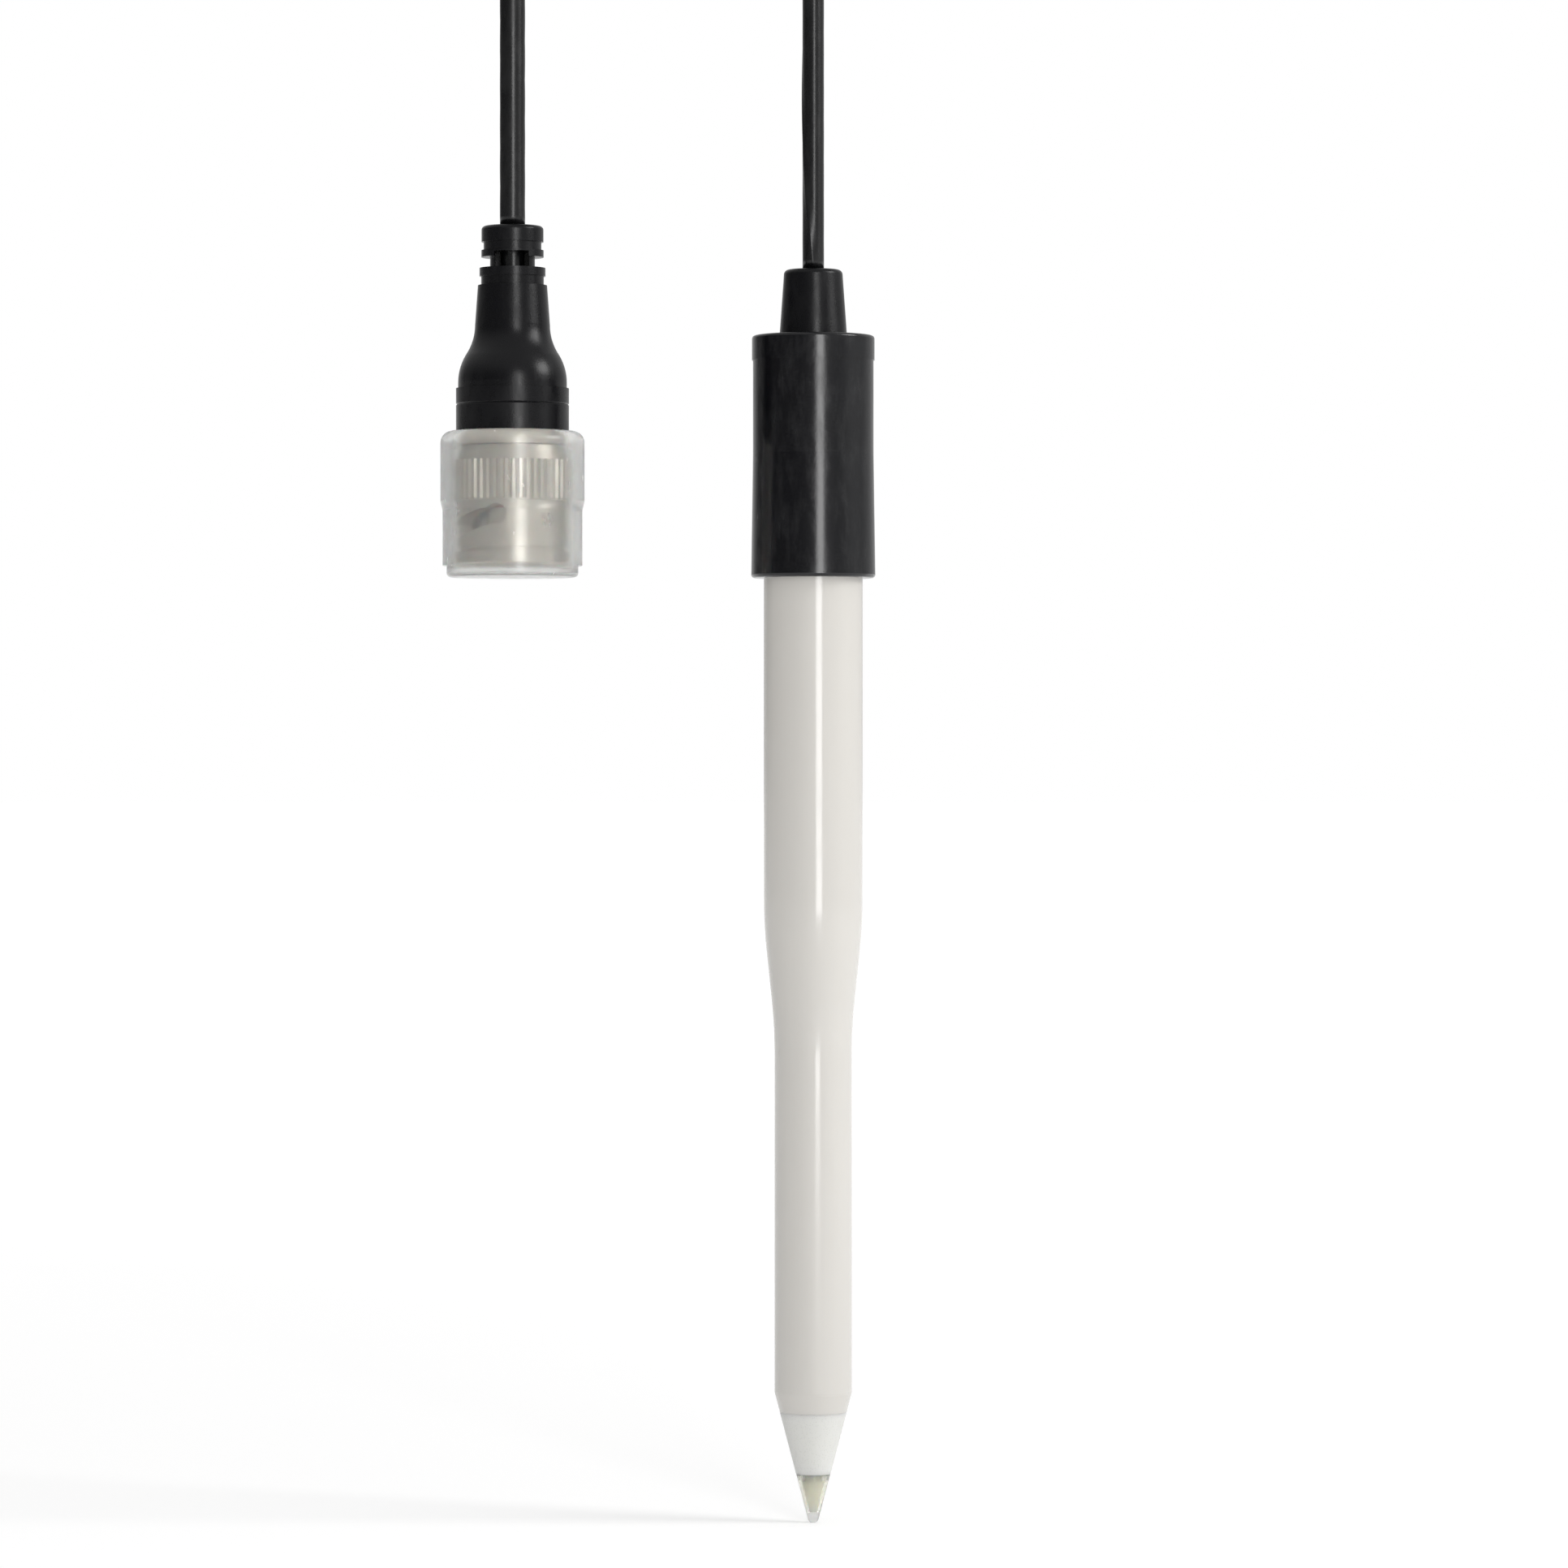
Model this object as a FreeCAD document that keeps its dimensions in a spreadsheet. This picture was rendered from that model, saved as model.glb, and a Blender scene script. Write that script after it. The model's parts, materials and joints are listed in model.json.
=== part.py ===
import FreeCAD, Part
import math
import os

import Sketcher

# Water quality probe: a pH electrode, its lead and its bayonet plug, hanging from the coil of spare lead.
# Millimetres, +Z up, +X to the right, the front faces -Y. The origin is the hang point, the inside of the
# coil at its top; the probe hangs at +X and the plug at -X, both with their axes in the plane Y = 0.

DOC = FreeCAD.newDocument("water_quality_probe")

SIZES = [
    # where things hang
    ("probe_offset", 18.25),  # hang point to the probe's axis
    ("plug_offset", 18.25),  # hang point to the plug's axis
    ("probe_hang", 224.5),  # hang point down to the tip
    ("plug_hang", 67.2),  # hang point down to the top of the plug's boot
    # lead and coil
    ("cord_radius", 1.45),
    ("cord_clearance", 0.02),
    ("coil_mean_radius", 17.1),
    ("coil_half_height", 6.3),
    ("coil_front", 1.55),
    ("coil_back", 13.95),
    ("coil_corner", 5.0),
    ("tie_thickness", 0.8),
    ("tie_sweep", 14.0),
    ("tie_turn", 20.0),
    # spear tip
    ("tip_end_radius", 0.55),
    ("tip_rounding", 0.5),
    ("tip_length", 5.9),
    ("junction_length", 7.5),
    ("barrel_cone_length", 2.4),
    ("glass_wall", 0.45),
    ("glass_end", 1.3),
    ("glass_shoulder", 0.7),
    ("junction_spigot", 5.6),
    # barrel
    ("lower_radius", 4.7),
    ("lower_length", 44.2),
    ("lower_rounding", 1.2),
    ("taper_length", 12.5),
    ("taper_blend", 60.0),
    ("upper_radius", 6.0),
    ("upper_length", 42.1),
    ("barrel_wall", 1.1),
    ("head_step", 0.2),  # upper radius down to the radius under the cap
    ("head_length", 6.4),
    ("seal_groove_depth", 0.4),
    ("seal_groove_width", 0.8),
    ("seal_groove_drop", 2.6),  # barrel's top down to the groove
    # glass stem and what is in the barrel
    ("stem_radius", 1.55),
    ("stem_wall", 0.5),
    ("stem_recess", 3.0),  # barrel's top down to the stem's top
    ("stem_clearance", 0.05),
    ("seal_clearance", 0.02),
    ("seal_height", 2.0),
    ("stopper_length", 4.0),
    ("stopper_head", 1.2),
    ("reference_gap", 0.6),  # reference tube to the barrel's bore
    ("reference_wall", 0.6),
    ("reference_rise", 5.5),  # end of the taper up to the reference chamber
    ("junction_ring_height", 4.0),
    ("potting_height", 9.0),
    ("potting_clearance", 0.02),
    ("silver_radius", 0.2),
    ("reference_wire_radius", 0.25),
    ("wire_clearance", 0.03),
    ("wire_start", 3.0),
    ("wire_frit_gap", 2.0),
    # cap and strain relief
    ("cap_length", 29.4),
    ("cap_wall", 1.32),  # over the barrel's upper radius
    ("cap_skirt_step", 0.22),
    ("cap_skirt_height", 15.0),
    ("cap_collar_step", 0.12),
    ("cap_collar_height", 3.0),
    ("cap_edge", 0.4),
    ("cap_socket_clearance", 0.05),
    ("cap_seat", 0.3),  # the barrel's top edge seats on this width
    ("cap_top_thickness", 2.5),
    ("grip_length", 8.0),
    ("grip_base_radius", 4.1),
    ("grip_top_radius", 3.53),
    ("grip_edge", 0.6),
    ("grip_neck_radius", 3.0),
    ("grip_clearance", 0.02),
    ("grip_flange_radius", 4.4),
    ("grip_flange_height", 2.0),
    # the lead's end in the cap
    ("lead_end_depth", 10.0),  # cap's top down to the end of the jacket
    ("core_radius", 0.55),
    ("ferrule_length", 3.8),
    ("ferrule_wall", 0.48),
    ("ferrule_rise", 1.2),
    ("splice_wall", 0.28),
    ("splice_length", 4.0),
    ("shield_radius", 0.35),
    ("shield_exit", 0.95),
    ("shield_splice_reach", 1.0),
    ("shield_straight", 0.2),  # share of its drop that is straight at each end
    ("shield_bend", 1.2),
    # boot of the plug
    ("boot_length", 25.0),
    ("boot_wall", 0.95),  # over the metal block
    ("boot_band", 5.3),
    ("boot_band_step", 0.25),
    ("boot_line_foot", 3.2),
    ("boot_line_height", 0.26),
    ("boot_line_depth", 0.1),
    ("shoulder_start", 6.0),
    ("shoulder_middle", 9.3),
    ("shoulder_middle_radius", 5.7),
    ("shoulder_end", 13.0),
    ("shoulder_end_radius", 4.55),
    ("shoulder_curve", 6.5),
    ("boot_neck_radius", 4.2),
    ("relief_length", 7.2),
    ("relief_step_radius", 3.8),
    ("relief_step_height", 1.1),
    ("relief_ring_radius", 4.0),
    ("relief_ring_height", 1.0),
    ("deep_groove_radius", 2.72),
    ("deep_groove_height", 1.3),
    ("middle_ring_radius", 3.78),
    ("middle_ring_height", 0.85),
    ("shallow_groove_radius", 3.5),
    ("shallow_groove_height", 1.0),
    ("end_ring_radius", 3.76),
    ("boot_edge", 0.5),
    ("window_width", 4.2),
    ("window_height", 1.9),
    ("window_floor", 2.5),  # axis to the window's floor
    ("boot_clearance", 0.02),
    # metal body of the plug
    ("block_radius", 5.9),
    ("block_length", 5.7),
    ("flange_step", 0.5),
    ("flange_thickness", 1.6),
    ("crimp_stem_radius", 1.9),
    ("crimp_stem_length", 7.0),
    ("conductor_bore", 1.0),
    ("journal_radius", 3.9),
    ("journal_press", 1.2),
    ("journal_clearance", 0.05),
    ("collar_step", 0.75),  # over the contact
    ("collar_thickness", 1.5),
    ("tenon_length", 1.6),
    ("contact_radius", 4.05),
    ("contact_root_step", 0.25),
    ("contact_wall", 0.53),
    ("contact_length", 7.0),
    ("contact_slot", 0.4),
    ("contact_slot_length", 5.0),
    ("contact_slot_overrun", 1.0),
    ("contact_slot_turn", 45.0),
    ("insulator_radius", 2.4),
    ("insulator_recess", 3.6),  # contact's front back to the insulator's
    ("insulator_rise", 3.7),  # top of the boot's socket above the boot's foot
    ("pin_radius", 0.675),
    ("pin_reach", 3.7),
    ("pin_root_radius", 0.95),
    ("pin_recess", 1.0),  # insulator's top down to the pin's
    ("pin_edge", 0.3),
    ("gasket_thickness", 1.0),
    ("washer_thickness", 0.5),
    ("spring_height", 1.6),
    ("spring_strip", 0.3),
    ("spring_inner_gap", 0.15),
    ("spring_outer_gap", 0.1),
    ("braid_wall", 0.14),
    ("crimp_wall", 0.5),
    ("crimp_length", 9.6),
    ("crimp_gap", 0.2),
    ("crimp_pocket_gap", 0.3),
    ("crimp_pocket_clearance", 0.12),
    ("braid_reach", 0.5),
    ("plug_jacket_length", 10.8),
    # coupling nut
    ("nut_gap", 0.1),
    ("nut_length", 14.4),
    ("nut_wall", 2.6),
    ("nut_bore_clearance", 0.1),
    ("nut_side", 2.1),  # bore to the knurl's points
    ("nut_rear_step", 0.8),
    ("nut_shoulder_height", 1.8),
    ("knurl_height", 4.7),
    ("knurl_depth", 0.25),
    ("knurl_overrun", 0.15),
    ("nut_waist_step", 0.3),
    ("nut_rim_step", 0.1),
    ("nut_rim_height", 1.5),
    ("nut_groove_depth", 0.3),
    ("nut_groove_height", 0.6),
    ("nut_edge", 0.25),
    ("slot_width", 2.3),
    ("slot_start", 2.4),
    ("slot_rise", 2.5),
    ("slot_pitch", 12.0),
    ("slot_entry_depth", 1.0),
    ("slot_overrun", 0.5),
    ("mouth_overrun", 1.0),
    ("detent_radius", 1.35),
    # protective cover
    ("cover_lap", 0.1),
    ("cover_end_gap", 0.5),
    ("cover_wall", 1.69),  # at the lip
    ("cover_band", 8.5),
    ("cover_step", 1.1),
    ("cover_waist_drop", 0.27),
    ("cover_foot_drop", 0.76),
    ("cover_foot_height", 1.4),
    ("cover_cavity_step", 0.3),
    ("cover_grip_clearance", 0.05),
    ("cover_lip_height", 2.4),
    ("cover_floor", 1.0),
    ("cover_top_edge", 1.4),
    ("cover_foot_edge", 0.5),
]
KNURL_TEETH = 52
CONTACT_FINGERS = 4
BAYONET_SLOTS = 2
SPRING_WAVES = 3

SHEET = DOC.addObject("Spreadsheet::Sheet", "sizes")
for row, (alias, value) in enumerate(SIZES, start=1):
    SHEET.set(f"A{row}", alias)
    SHEET.set(f"B{row}", str(value))
    SHEET.setAlias(f"B{row}", alias)
DOC.recompute()

NODES = {}
VERTICAL = FreeCAD.Vector(0, 0, 1)
# Each axis is named by the offsets that place it: the X and Z expressions of its local origin.
PROBE = ("sizes.probe_offset", "-sizes.probe_hang")
PLUG = ("-sizes.plug_offset", "-sizes.plug_hang")


def size(name):
    return getattr(SHEET, name)


def number(expression):
    """The value of an expression on the sheet."""
    return float(SHEET.evalExpression(expression.replace("sizes.", "")))


def put(thing, axis, height="0"):
    """Ties a placement to the sheet: on the given axis, at a height above its local origin."""
    thing.setExpression("Placement.Base.x", axis[0])
    thing.setExpression("Placement.Base.z", f"{axis[1]} + {height}")


def node(thing, name):
    thing.Label = name
    NODES[name] = thing
    return thing


def plane(body, role):
    return next(f for f in body.Origin.OriginFeatures if f.Role == role)


def sketch_on(body, role, name):
    sketch = body.newObject("Sketcher::SketchObject", name)
    sketch.AttachmentSupport = [(plane(body, role), "")]
    sketch.MapMode = "FlatFace"
    return sketch


def tie_distance(sketch, kind, geometry, end, expression, name):
    """Holds one coordinate of a point to an expression, or to the axis where it is nought."""
    value = number(expression)
    if abs(value) < 1e-9:
        axis = -2 if kind == "DistanceX" else -1
        sketch.addConstraint(Sketcher.Constraint("PointOnObject", geometry, end, axis))
        return
    index = sketch.addConstraint(Sketcher.Constraint(kind, -1, 1, geometry, end, value))
    sketch.renameConstraint(index, name)
    sketch.setExpression(f"Constraints.{name}", expression)


def arc_through(start, end, radius, side):
    """A minor arc of this radius; side 1 bulges to the left of the way from start to end."""
    chord = end - start
    across = FreeCAD.Vector(-chord.y, chord.x, 0).normalize() * side
    centre = (start + end) * 0.5 - across * math.sqrt(radius**2 - (chord.Length / 2) ** 2)
    first, last = (end, start) if side > 0 else (start, end)
    angles = [math.atan2(p.y - centre.y, p.x - centre.x) for p in (first, last)]
    return Part.ArcOfCircle(Part.Circle(centre, VERTICAL, radius), *angles)


def outline(sketch, corners, first=0):
    """A closed outline of (across, up) expressions. A corner may add (radius, side): the stretch that
    arrives there is then an arc."""
    points = [FreeCAD.Vector(number(c[0]), number(c[1]), 0) for c in corners]
    count = len(points)
    for i in range(count):
        start = points[i]
        end = points[(i + 1) % count]
        bend = corners[(i + 1) % count][2:]
        if bend:
            sketch.addGeometry(arc_through(start, end, number(bend[0]), bend[1]), False)
        else:
            sketch.addGeometry(Part.LineSegment(start, end), False)
    starts = []
    for i in range(count):
        geometry = sketch.Geometry[first + i]
        forward = geometry.StartPoint.distanceToPoint(points[i]) < 1e-6
        starts.append((1, 2) if forward else (2, 1))
    for i in range(count):
        j = (i + 1) % count
        ends = (first + i, starts[i][1], first + j, starts[j][0])
        sketch.addConstraint(Sketcher.Constraint("Coincident", *ends))
    for i, corner in enumerate(corners):
        tie_distance(sketch, "DistanceX", first + i, starts[i][0], corner[0], f"across{first + i}")
        tie_distance(sketch, "DistanceY", first + i, starts[i][0], corner[1], f"up{first + i}")
        bend = corners[(i + 1) % count][2:]
        if bend:
            index = sketch.addConstraint(Sketcher.Constraint("Radius", first + i, number(bend[0])))
            sketch.renameConstraint(index, f"bend{i}")
            sketch.setExpression(f"Constraints.bend{i}", bend[0])


def turned(name, axis, corners):
    """A body turned about its axis; corners are (radius, height) expressions round the half section."""
    body = DOC.addObject("PartDesign::Body", name)
    put(body, axis)
    section = sketch_on(body, "XZ_Plane", f"{name}_section")
    outline(section, corners)
    turn = body.newObject("PartDesign::Revolution", f"{name}_turn")
    turn.Profile = section
    turn.ReferenceAxis = (section, ["V_Axis"])
    turn.Angle = 360
    DOC.recompute()
    return node(body, name)


def ring(name, axis, inner, outer, foot, top):
    return turned(name, axis, [(inner, foot), (outer, foot), (outer, top), (inner, top)])


def rod(name, axis, radius, foot, top):
    return ring(name, axis, "0", radius, foot, top)


def circle_edges(feature, places):
    """The names of the circular edges at these (radius, height) places of a turned body."""
    wanted = [(number(r), number(z)) for r, z in places]
    found = []
    for i, edge in enumerate(feature.Shape.Edges, start=1):
        if not isinstance(edge.Curve, Part.Circle):
            continue
        here = (edge.Curve.Radius, edge.Curve.Center.z)
        if any(math.dist(here, place) < 1e-4 for place in wanted):
            found.append(f"Edge{i}")
    if len(found) < len(wanted):
        raise RuntimeError(f"{feature.Name}: an edge to round was not found")
    return found


def rounded(body, places, radius):
    """Fillets the circular edges at these places."""
    base = body.Tip
    edges = circle_edges(base, places)
    fillet = body.newObject("PartDesign::Fillet", f"{body.Name}_rounding")
    fillet.Base = (base, edges)
    fillet.setExpression("Radius", radius)
    body.Tip = fillet
    DOC.recompute()


def bored(body, across, radius):
    """A hole right through along the local Z axis."""
    circle = sketch_on(body, "XY_Plane", f"{body.Name}_hole_centre")
    centre = FreeCAD.Vector(number(across), 0, 0)
    circle.addGeometry(Part.Circle(centre, VERTICAL, number(radius)), False)
    tie_distance(circle, "DistanceX", 0, 3, across, "across")
    circle.addConstraint(Sketcher.Constraint("PointOnObject", 0, 3, -1))
    index = circle.addConstraint(Sketcher.Constraint("Radius", 0, number(radius)))
    circle.renameConstraint(index, "bore")
    circle.setExpression("Constraints.bore", radius)
    before = body.Shape.Volume
    hole = body.newObject("PartDesign::Pocket", f"{body.Name}_hole")
    hole.Profile = circle
    hole.Type = "ThroughAll"
    hole.Midplane = True
    DOC.recompute()
    if body.Shape.Volume >= before:
        raise RuntimeError(f"{body.Name}: the hole cut nothing")


def slotted(body, name, corners, count=1, turn="0"):
    """Cuts a slot right through along the local Y axis, turned by an angle, and repeats it round the axis."""
    section = sketch_on(body, "XZ_Plane", f"{name}_section")
    section.AttachmentOffset = FreeCAD.Placement(FreeCAD.Vector(), FreeCAD.Rotation(FreeCAD.Vector(0, 1, 0), 1))
    section.setExpression("AttachmentOffset.Rotation.Angle", turn)
    outline(section, corners)
    before = body.Shape.Volume
    cut = body.newObject("PartDesign::Pocket", name)
    cut.Profile = section
    cut.Type = "ThroughAll"
    cut.Midplane = True
    DOC.recompute()
    if count > 1:
        repeat(body, cut, section, count, 360)
    if body.Shape.Volume >= before:
        raise RuntimeError(f"{body.Name}: {name} cut nothing")


def repeat(body, feature, section, count, angle, axis="V_Axis"):
    """Repeats a feature round the body's axis."""
    pattern = body.newObject("PartDesign::PolarPattern", f"{feature.Name}_pattern")
    pattern.Originals = [feature]
    pattern.Axis = (section, [axis])
    pattern.Angle = angle
    pattern.Occurrences = count
    body.Tip = pattern
    DOC.recompute()
    return pattern


# Levels of the probe, up from the tip.
TIP_TOP = "sizes.tip_length"
JUNCTION_TOP = f"{TIP_TOP} + sizes.junction_length"
CONE_TOP = f"{JUNCTION_TOP} + sizes.barrel_cone_length"
LOWER_TOP = f"{CONE_TOP} + sizes.lower_length"
UPPER_FOOT = f"{LOWER_TOP} + sizes.taper_length"
CAP_FOOT = f"{UPPER_FOOT} + sizes.upper_length"
BARREL_TOP = f"{CAP_FOOT} + sizes.head_length"
CAP_TOP = f"{CAP_FOOT} + sizes.cap_length"
GRIP_TOP = f"{CAP_TOP} + sizes.grip_length"
STEM_TOP = f"{BARREL_TOP} - sizes.stem_recess"
JACKET_END = f"{CAP_TOP} - sizes.lead_end_depth"
WIRE_TOP = f"({BARREL_TOP} + {JACKET_END}) / 2"
LOWER_BORE = "sizes.lower_radius - sizes.barrel_wall"
UPPER_BORE = "sizes.upper_radius - sizes.barrel_wall"
STEM_BORE = "sizes.stem_radius - sizes.stem_wall"
HEAD = "sizes.upper_radius - sizes.head_step"
REFERENCE_RIM = f"{UPPER_BORE} - sizes.reference_gap"
REFERENCE_BORE = f"{REFERENCE_RIM} - sizes.reference_wall"
REFERENCE_WIRE = f"(sizes.stem_radius + {REFERENCE_BORE}) / 2"
REFERENCE_AXIS = (f"sizes.probe_offset + {REFERENCE_WIRE}", "-sizes.probe_hang")
CAP_RIM = "sizes.upper_radius + sizes.cap_wall"
CORD_BORE = "sizes.cord_radius + sizes.cord_clearance"


def cone_radius(level):
    """The radius of the spear tip's one cone at a level."""
    spread = "(sizes.lower_radius - sizes.tip_end_radius)"
    return f"sizes.tip_end_radius + {spread} * ({level}) / ({CONE_TOP})"


def spear_tip():
    """Glass tip, fused stem, porous junction cone, and the silver wire on the axis."""
    shoulder = f"{TIP_TOP} - sizes.glass_shoulder"
    glass = turned("glass_tip", PROBE, [
        ("0", "0"),
        ("sizes.tip_end_radius", "0"),
        (cone_radius(TIP_TOP), TIP_TOP),
        (STEM_BORE, TIP_TOP),
        (STEM_BORE, shoulder),
        (f"{cone_radius(shoulder)} - sizes.glass_wall", shoulder),
        (f"{cone_radius('sizes.glass_end')} - sizes.glass_wall", "sizes.glass_end"),
        ("0", "sizes.glass_end"),
    ])
    rounded(glass, [("sizes.tip_end_radius", "0")], "min(sizes.tip_rounding; 0.9 * sizes.tip_end_radius)")
    ring("stem_tube", PROBE, STEM_BORE, "sizes.stem_radius", TIP_TOP, STEM_TOP)
    bore = "sizes.stem_radius + sizes.stem_clearance"
    spigot = f"{LOWER_BORE} - sizes.stem_clearance"
    spigot_top = f"{JUNCTION_TOP} + sizes.junction_spigot"
    turned("junction_cone", PROBE, [
        (bore, TIP_TOP),
        (cone_radius(TIP_TOP), TIP_TOP),
        (cone_radius(JUNCTION_TOP), JUNCTION_TOP),
        (spigot, JUNCTION_TOP),
        (spigot, spigot_top),
        (bore, spigot_top),
    ])
    seal_bore = "sizes.stem_radius + sizes.seal_clearance"
    seal_rim = f"{LOWER_BORE} - sizes.seal_clearance"
    ring("stem_seal", PROBE, seal_bore, seal_rim, spigot_top, f"{spigot_top} + sizes.seal_height")
    rod("measuring_wire", PROBE, "sizes.silver_radius", "sizes.wire_start", WIRE_TOP)
    stopper = f"{STEM_BORE} - sizes.seal_clearance"
    turned("stem_plug", PROBE, [
        ("sizes.silver_radius + sizes.wire_clearance", f"{STEM_TOP} - sizes.stopper_length"),
        (stopper, f"{STEM_TOP} - sizes.stopper_length"),
        (stopper, STEM_TOP),
        ("sizes.stem_radius", STEM_TOP),
        ("sizes.stem_radius", f"{STEM_TOP} + sizes.stopper_head"),
        ("sizes.silver_radius + sizes.wire_clearance", f"{STEM_TOP} + sizes.stopper_head"),
    ])


def barrel():
    """The white tube: spear end, lower length, long taper, upper length and a stepped head."""
    groove_floor = f"{HEAD} - sizes.seal_groove_depth"
    groove_top = f"{BARREL_TOP} - sizes.seal_groove_drop"
    groove_foot = f"{groove_top} - sizes.seal_groove_width"
    tube = turned("barrel", PROBE, [
        (cone_radius(JUNCTION_TOP), JUNCTION_TOP),
        ("sizes.lower_radius", CONE_TOP),
        ("sizes.lower_radius", LOWER_TOP),
        ("sizes.upper_radius", UPPER_FOOT),
        ("sizes.upper_radius", CAP_FOOT),
        (HEAD, CAP_FOOT),
        (HEAD, groove_foot),
        (groove_floor, groove_foot),
        (groove_floor, groove_top),
        (HEAD, groove_top),
        (HEAD, BARREL_TOP),
        (UPPER_BORE, BARREL_TOP),
        (UPPER_BORE, UPPER_FOOT),
        (LOWER_BORE, LOWER_TOP),
        (LOWER_BORE, JUNCTION_TOP),
    ])
    rounded(tube, [("sizes.lower_radius", CONE_TOP)], "sizes.lower_rounding")
    taper_ends = [("sizes.lower_radius", LOWER_TOP), ("sizes.upper_radius", UPPER_FOOT)]
    rounded(tube, taper_ends, "sizes.taper_blend")
    seal = DOC.addObject("Part::Torus", "cap_o_ring")
    socket = f"({HEAD} + sizes.cap_socket_clearance)"
    seal.setExpression("Radius1", f"({socket} + {groove_floor}) / 2")
    seal.setExpression("Radius2", f"({socket} - ({groove_floor})) / 2")
    put(seal, PROBE, f"({groove_foot} + {groove_top}) / 2")
    node(seal, "cap_o_ring")


def reference_chamber():
    """The inner reference tube, its porous ring, its wire, and the potting that closes the head."""
    foot = f"{UPPER_FOOT} + sizes.reference_rise"
    potting_foot = f"{BARREL_TOP} - sizes.potting_height"
    ring("reference_tube", PROBE, REFERENCE_BORE, REFERENCE_RIM, foot, potting_foot)
    frit_bore = "sizes.stem_radius + sizes.stem_clearance"
    frit_rim = f"{REFERENCE_BORE} - sizes.seal_clearance"
    frit_top = f"{foot} + sizes.junction_ring_height"
    ring("inner_junction", PROBE, frit_bore, frit_rim, foot, frit_top)
    wire_foot = f"{frit_top} + sizes.wire_frit_gap"
    rod("reference_wire", REFERENCE_AXIS, "sizes.reference_wire_radius", wire_foot, WIRE_TOP)
    potting_bore = "sizes.stem_radius + sizes.potting_clearance"
    potting_rim = f"{UPPER_BORE} - sizes.potting_clearance"
    potting = ring("potting_plug", PROBE, potting_bore, potting_rim, potting_foot, BARREL_TOP)
    wire_hole = "sizes.reference_wire_radius + sizes.wire_clearance"
    bored(potting, REFERENCE_WIRE, wire_hole)


def cap():
    """The black cap and the conical strain relief in its top."""
    chamber_top = f"{CAP_TOP} - sizes.cap_top_thickness"
    collar_foot = f"{CAP_TOP} - sizes.cap_collar_height"
    socket = f"{HEAD} + sizes.cap_socket_clearance"
    skirt = f"{CAP_RIM} + sizes.cap_skirt_step"
    collar = f"{CAP_RIM} + sizes.cap_collar_step"
    chamber = f"{HEAD} - sizes.cap_seat"
    neck_hole = "sizes.grip_neck_radius + sizes.grip_clearance"
    sleeve = turned("cap_sleeve", PROBE, [
        (socket, CAP_FOOT),
        (skirt, CAP_FOOT),
        (CAP_RIM, f"{CAP_FOOT} + sizes.cap_skirt_height"),
        (CAP_RIM, collar_foot),
        (collar, collar_foot),
        (collar, CAP_TOP),
        (neck_hole, CAP_TOP),
        (neck_hole, chamber_top),
        (chamber, chamber_top),
        (chamber, BARREL_TOP),
        (socket, BARREL_TOP),
    ])
    ends = [(skirt, CAP_FOOT), (collar, CAP_TOP)]
    rounded(sleeve, ends, "sizes.cap_edge")
    flange_foot = f"{chamber_top} - sizes.grip_flange_height"
    grip = turned("cord_grip", PROBE, [
        (CORD_BORE, flange_foot),
        ("sizes.grip_flange_radius", flange_foot),
        ("sizes.grip_flange_radius", chamber_top),
        ("sizes.grip_neck_radius", chamber_top),
        ("sizes.grip_neck_radius", CAP_TOP),
        ("sizes.grip_base_radius", CAP_TOP),
        ("sizes.grip_top_radius", GRIP_TOP),
        (CORD_BORE, GRIP_TOP),
    ])
    rounded(grip, [("sizes.grip_top_radius", GRIP_TOP)], "sizes.grip_edge")


def lead_in_cap():
    """The lead's end in the cap: jacket, ferrule, core and shield, each joined to its silver wire."""
    rod("lead_end", PROBE, "sizes.cord_radius", JACKET_END, GRIP_TOP)
    ferrule_foot = f"{JACKET_END} + sizes.ferrule_rise"
    ferrule_top = f"{ferrule_foot} + sizes.ferrule_length"
    ferrule_rim = f"{CORD_BORE} + sizes.ferrule_wall"
    ring("crimp_ferrule", PROBE, CORD_BORE, ferrule_rim, ferrule_foot, ferrule_top)
    rod("measuring_core", PROBE, "sizes.core_radius", WIRE_TOP, JACKET_END)
    splice_foot = f"{WIRE_TOP} - sizes.splice_length / 2"
    splice_top = f"{WIRE_TOP} + sizes.splice_length / 2"
    splice_bore = "sizes.core_radius + sizes.cord_clearance"
    splice_rim = f"{splice_bore} + sizes.splice_wall"
    ring("core_splice", PROBE, splice_bore, splice_rim, splice_foot, splice_top)
    sleeve_bore = "sizes.shield_radius + sizes.cord_clearance"
    sleeve_rim = f"{sleeve_bore} + sizes.splice_wall"
    sleeve_top = f"{WIRE_TOP} + sizes.shield_splice_reach"
    ring("shield_splice", REFERENCE_AXIS, sleeve_bore, sleeve_rim, splice_foot, sleeve_top)
    pigtail()


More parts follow.
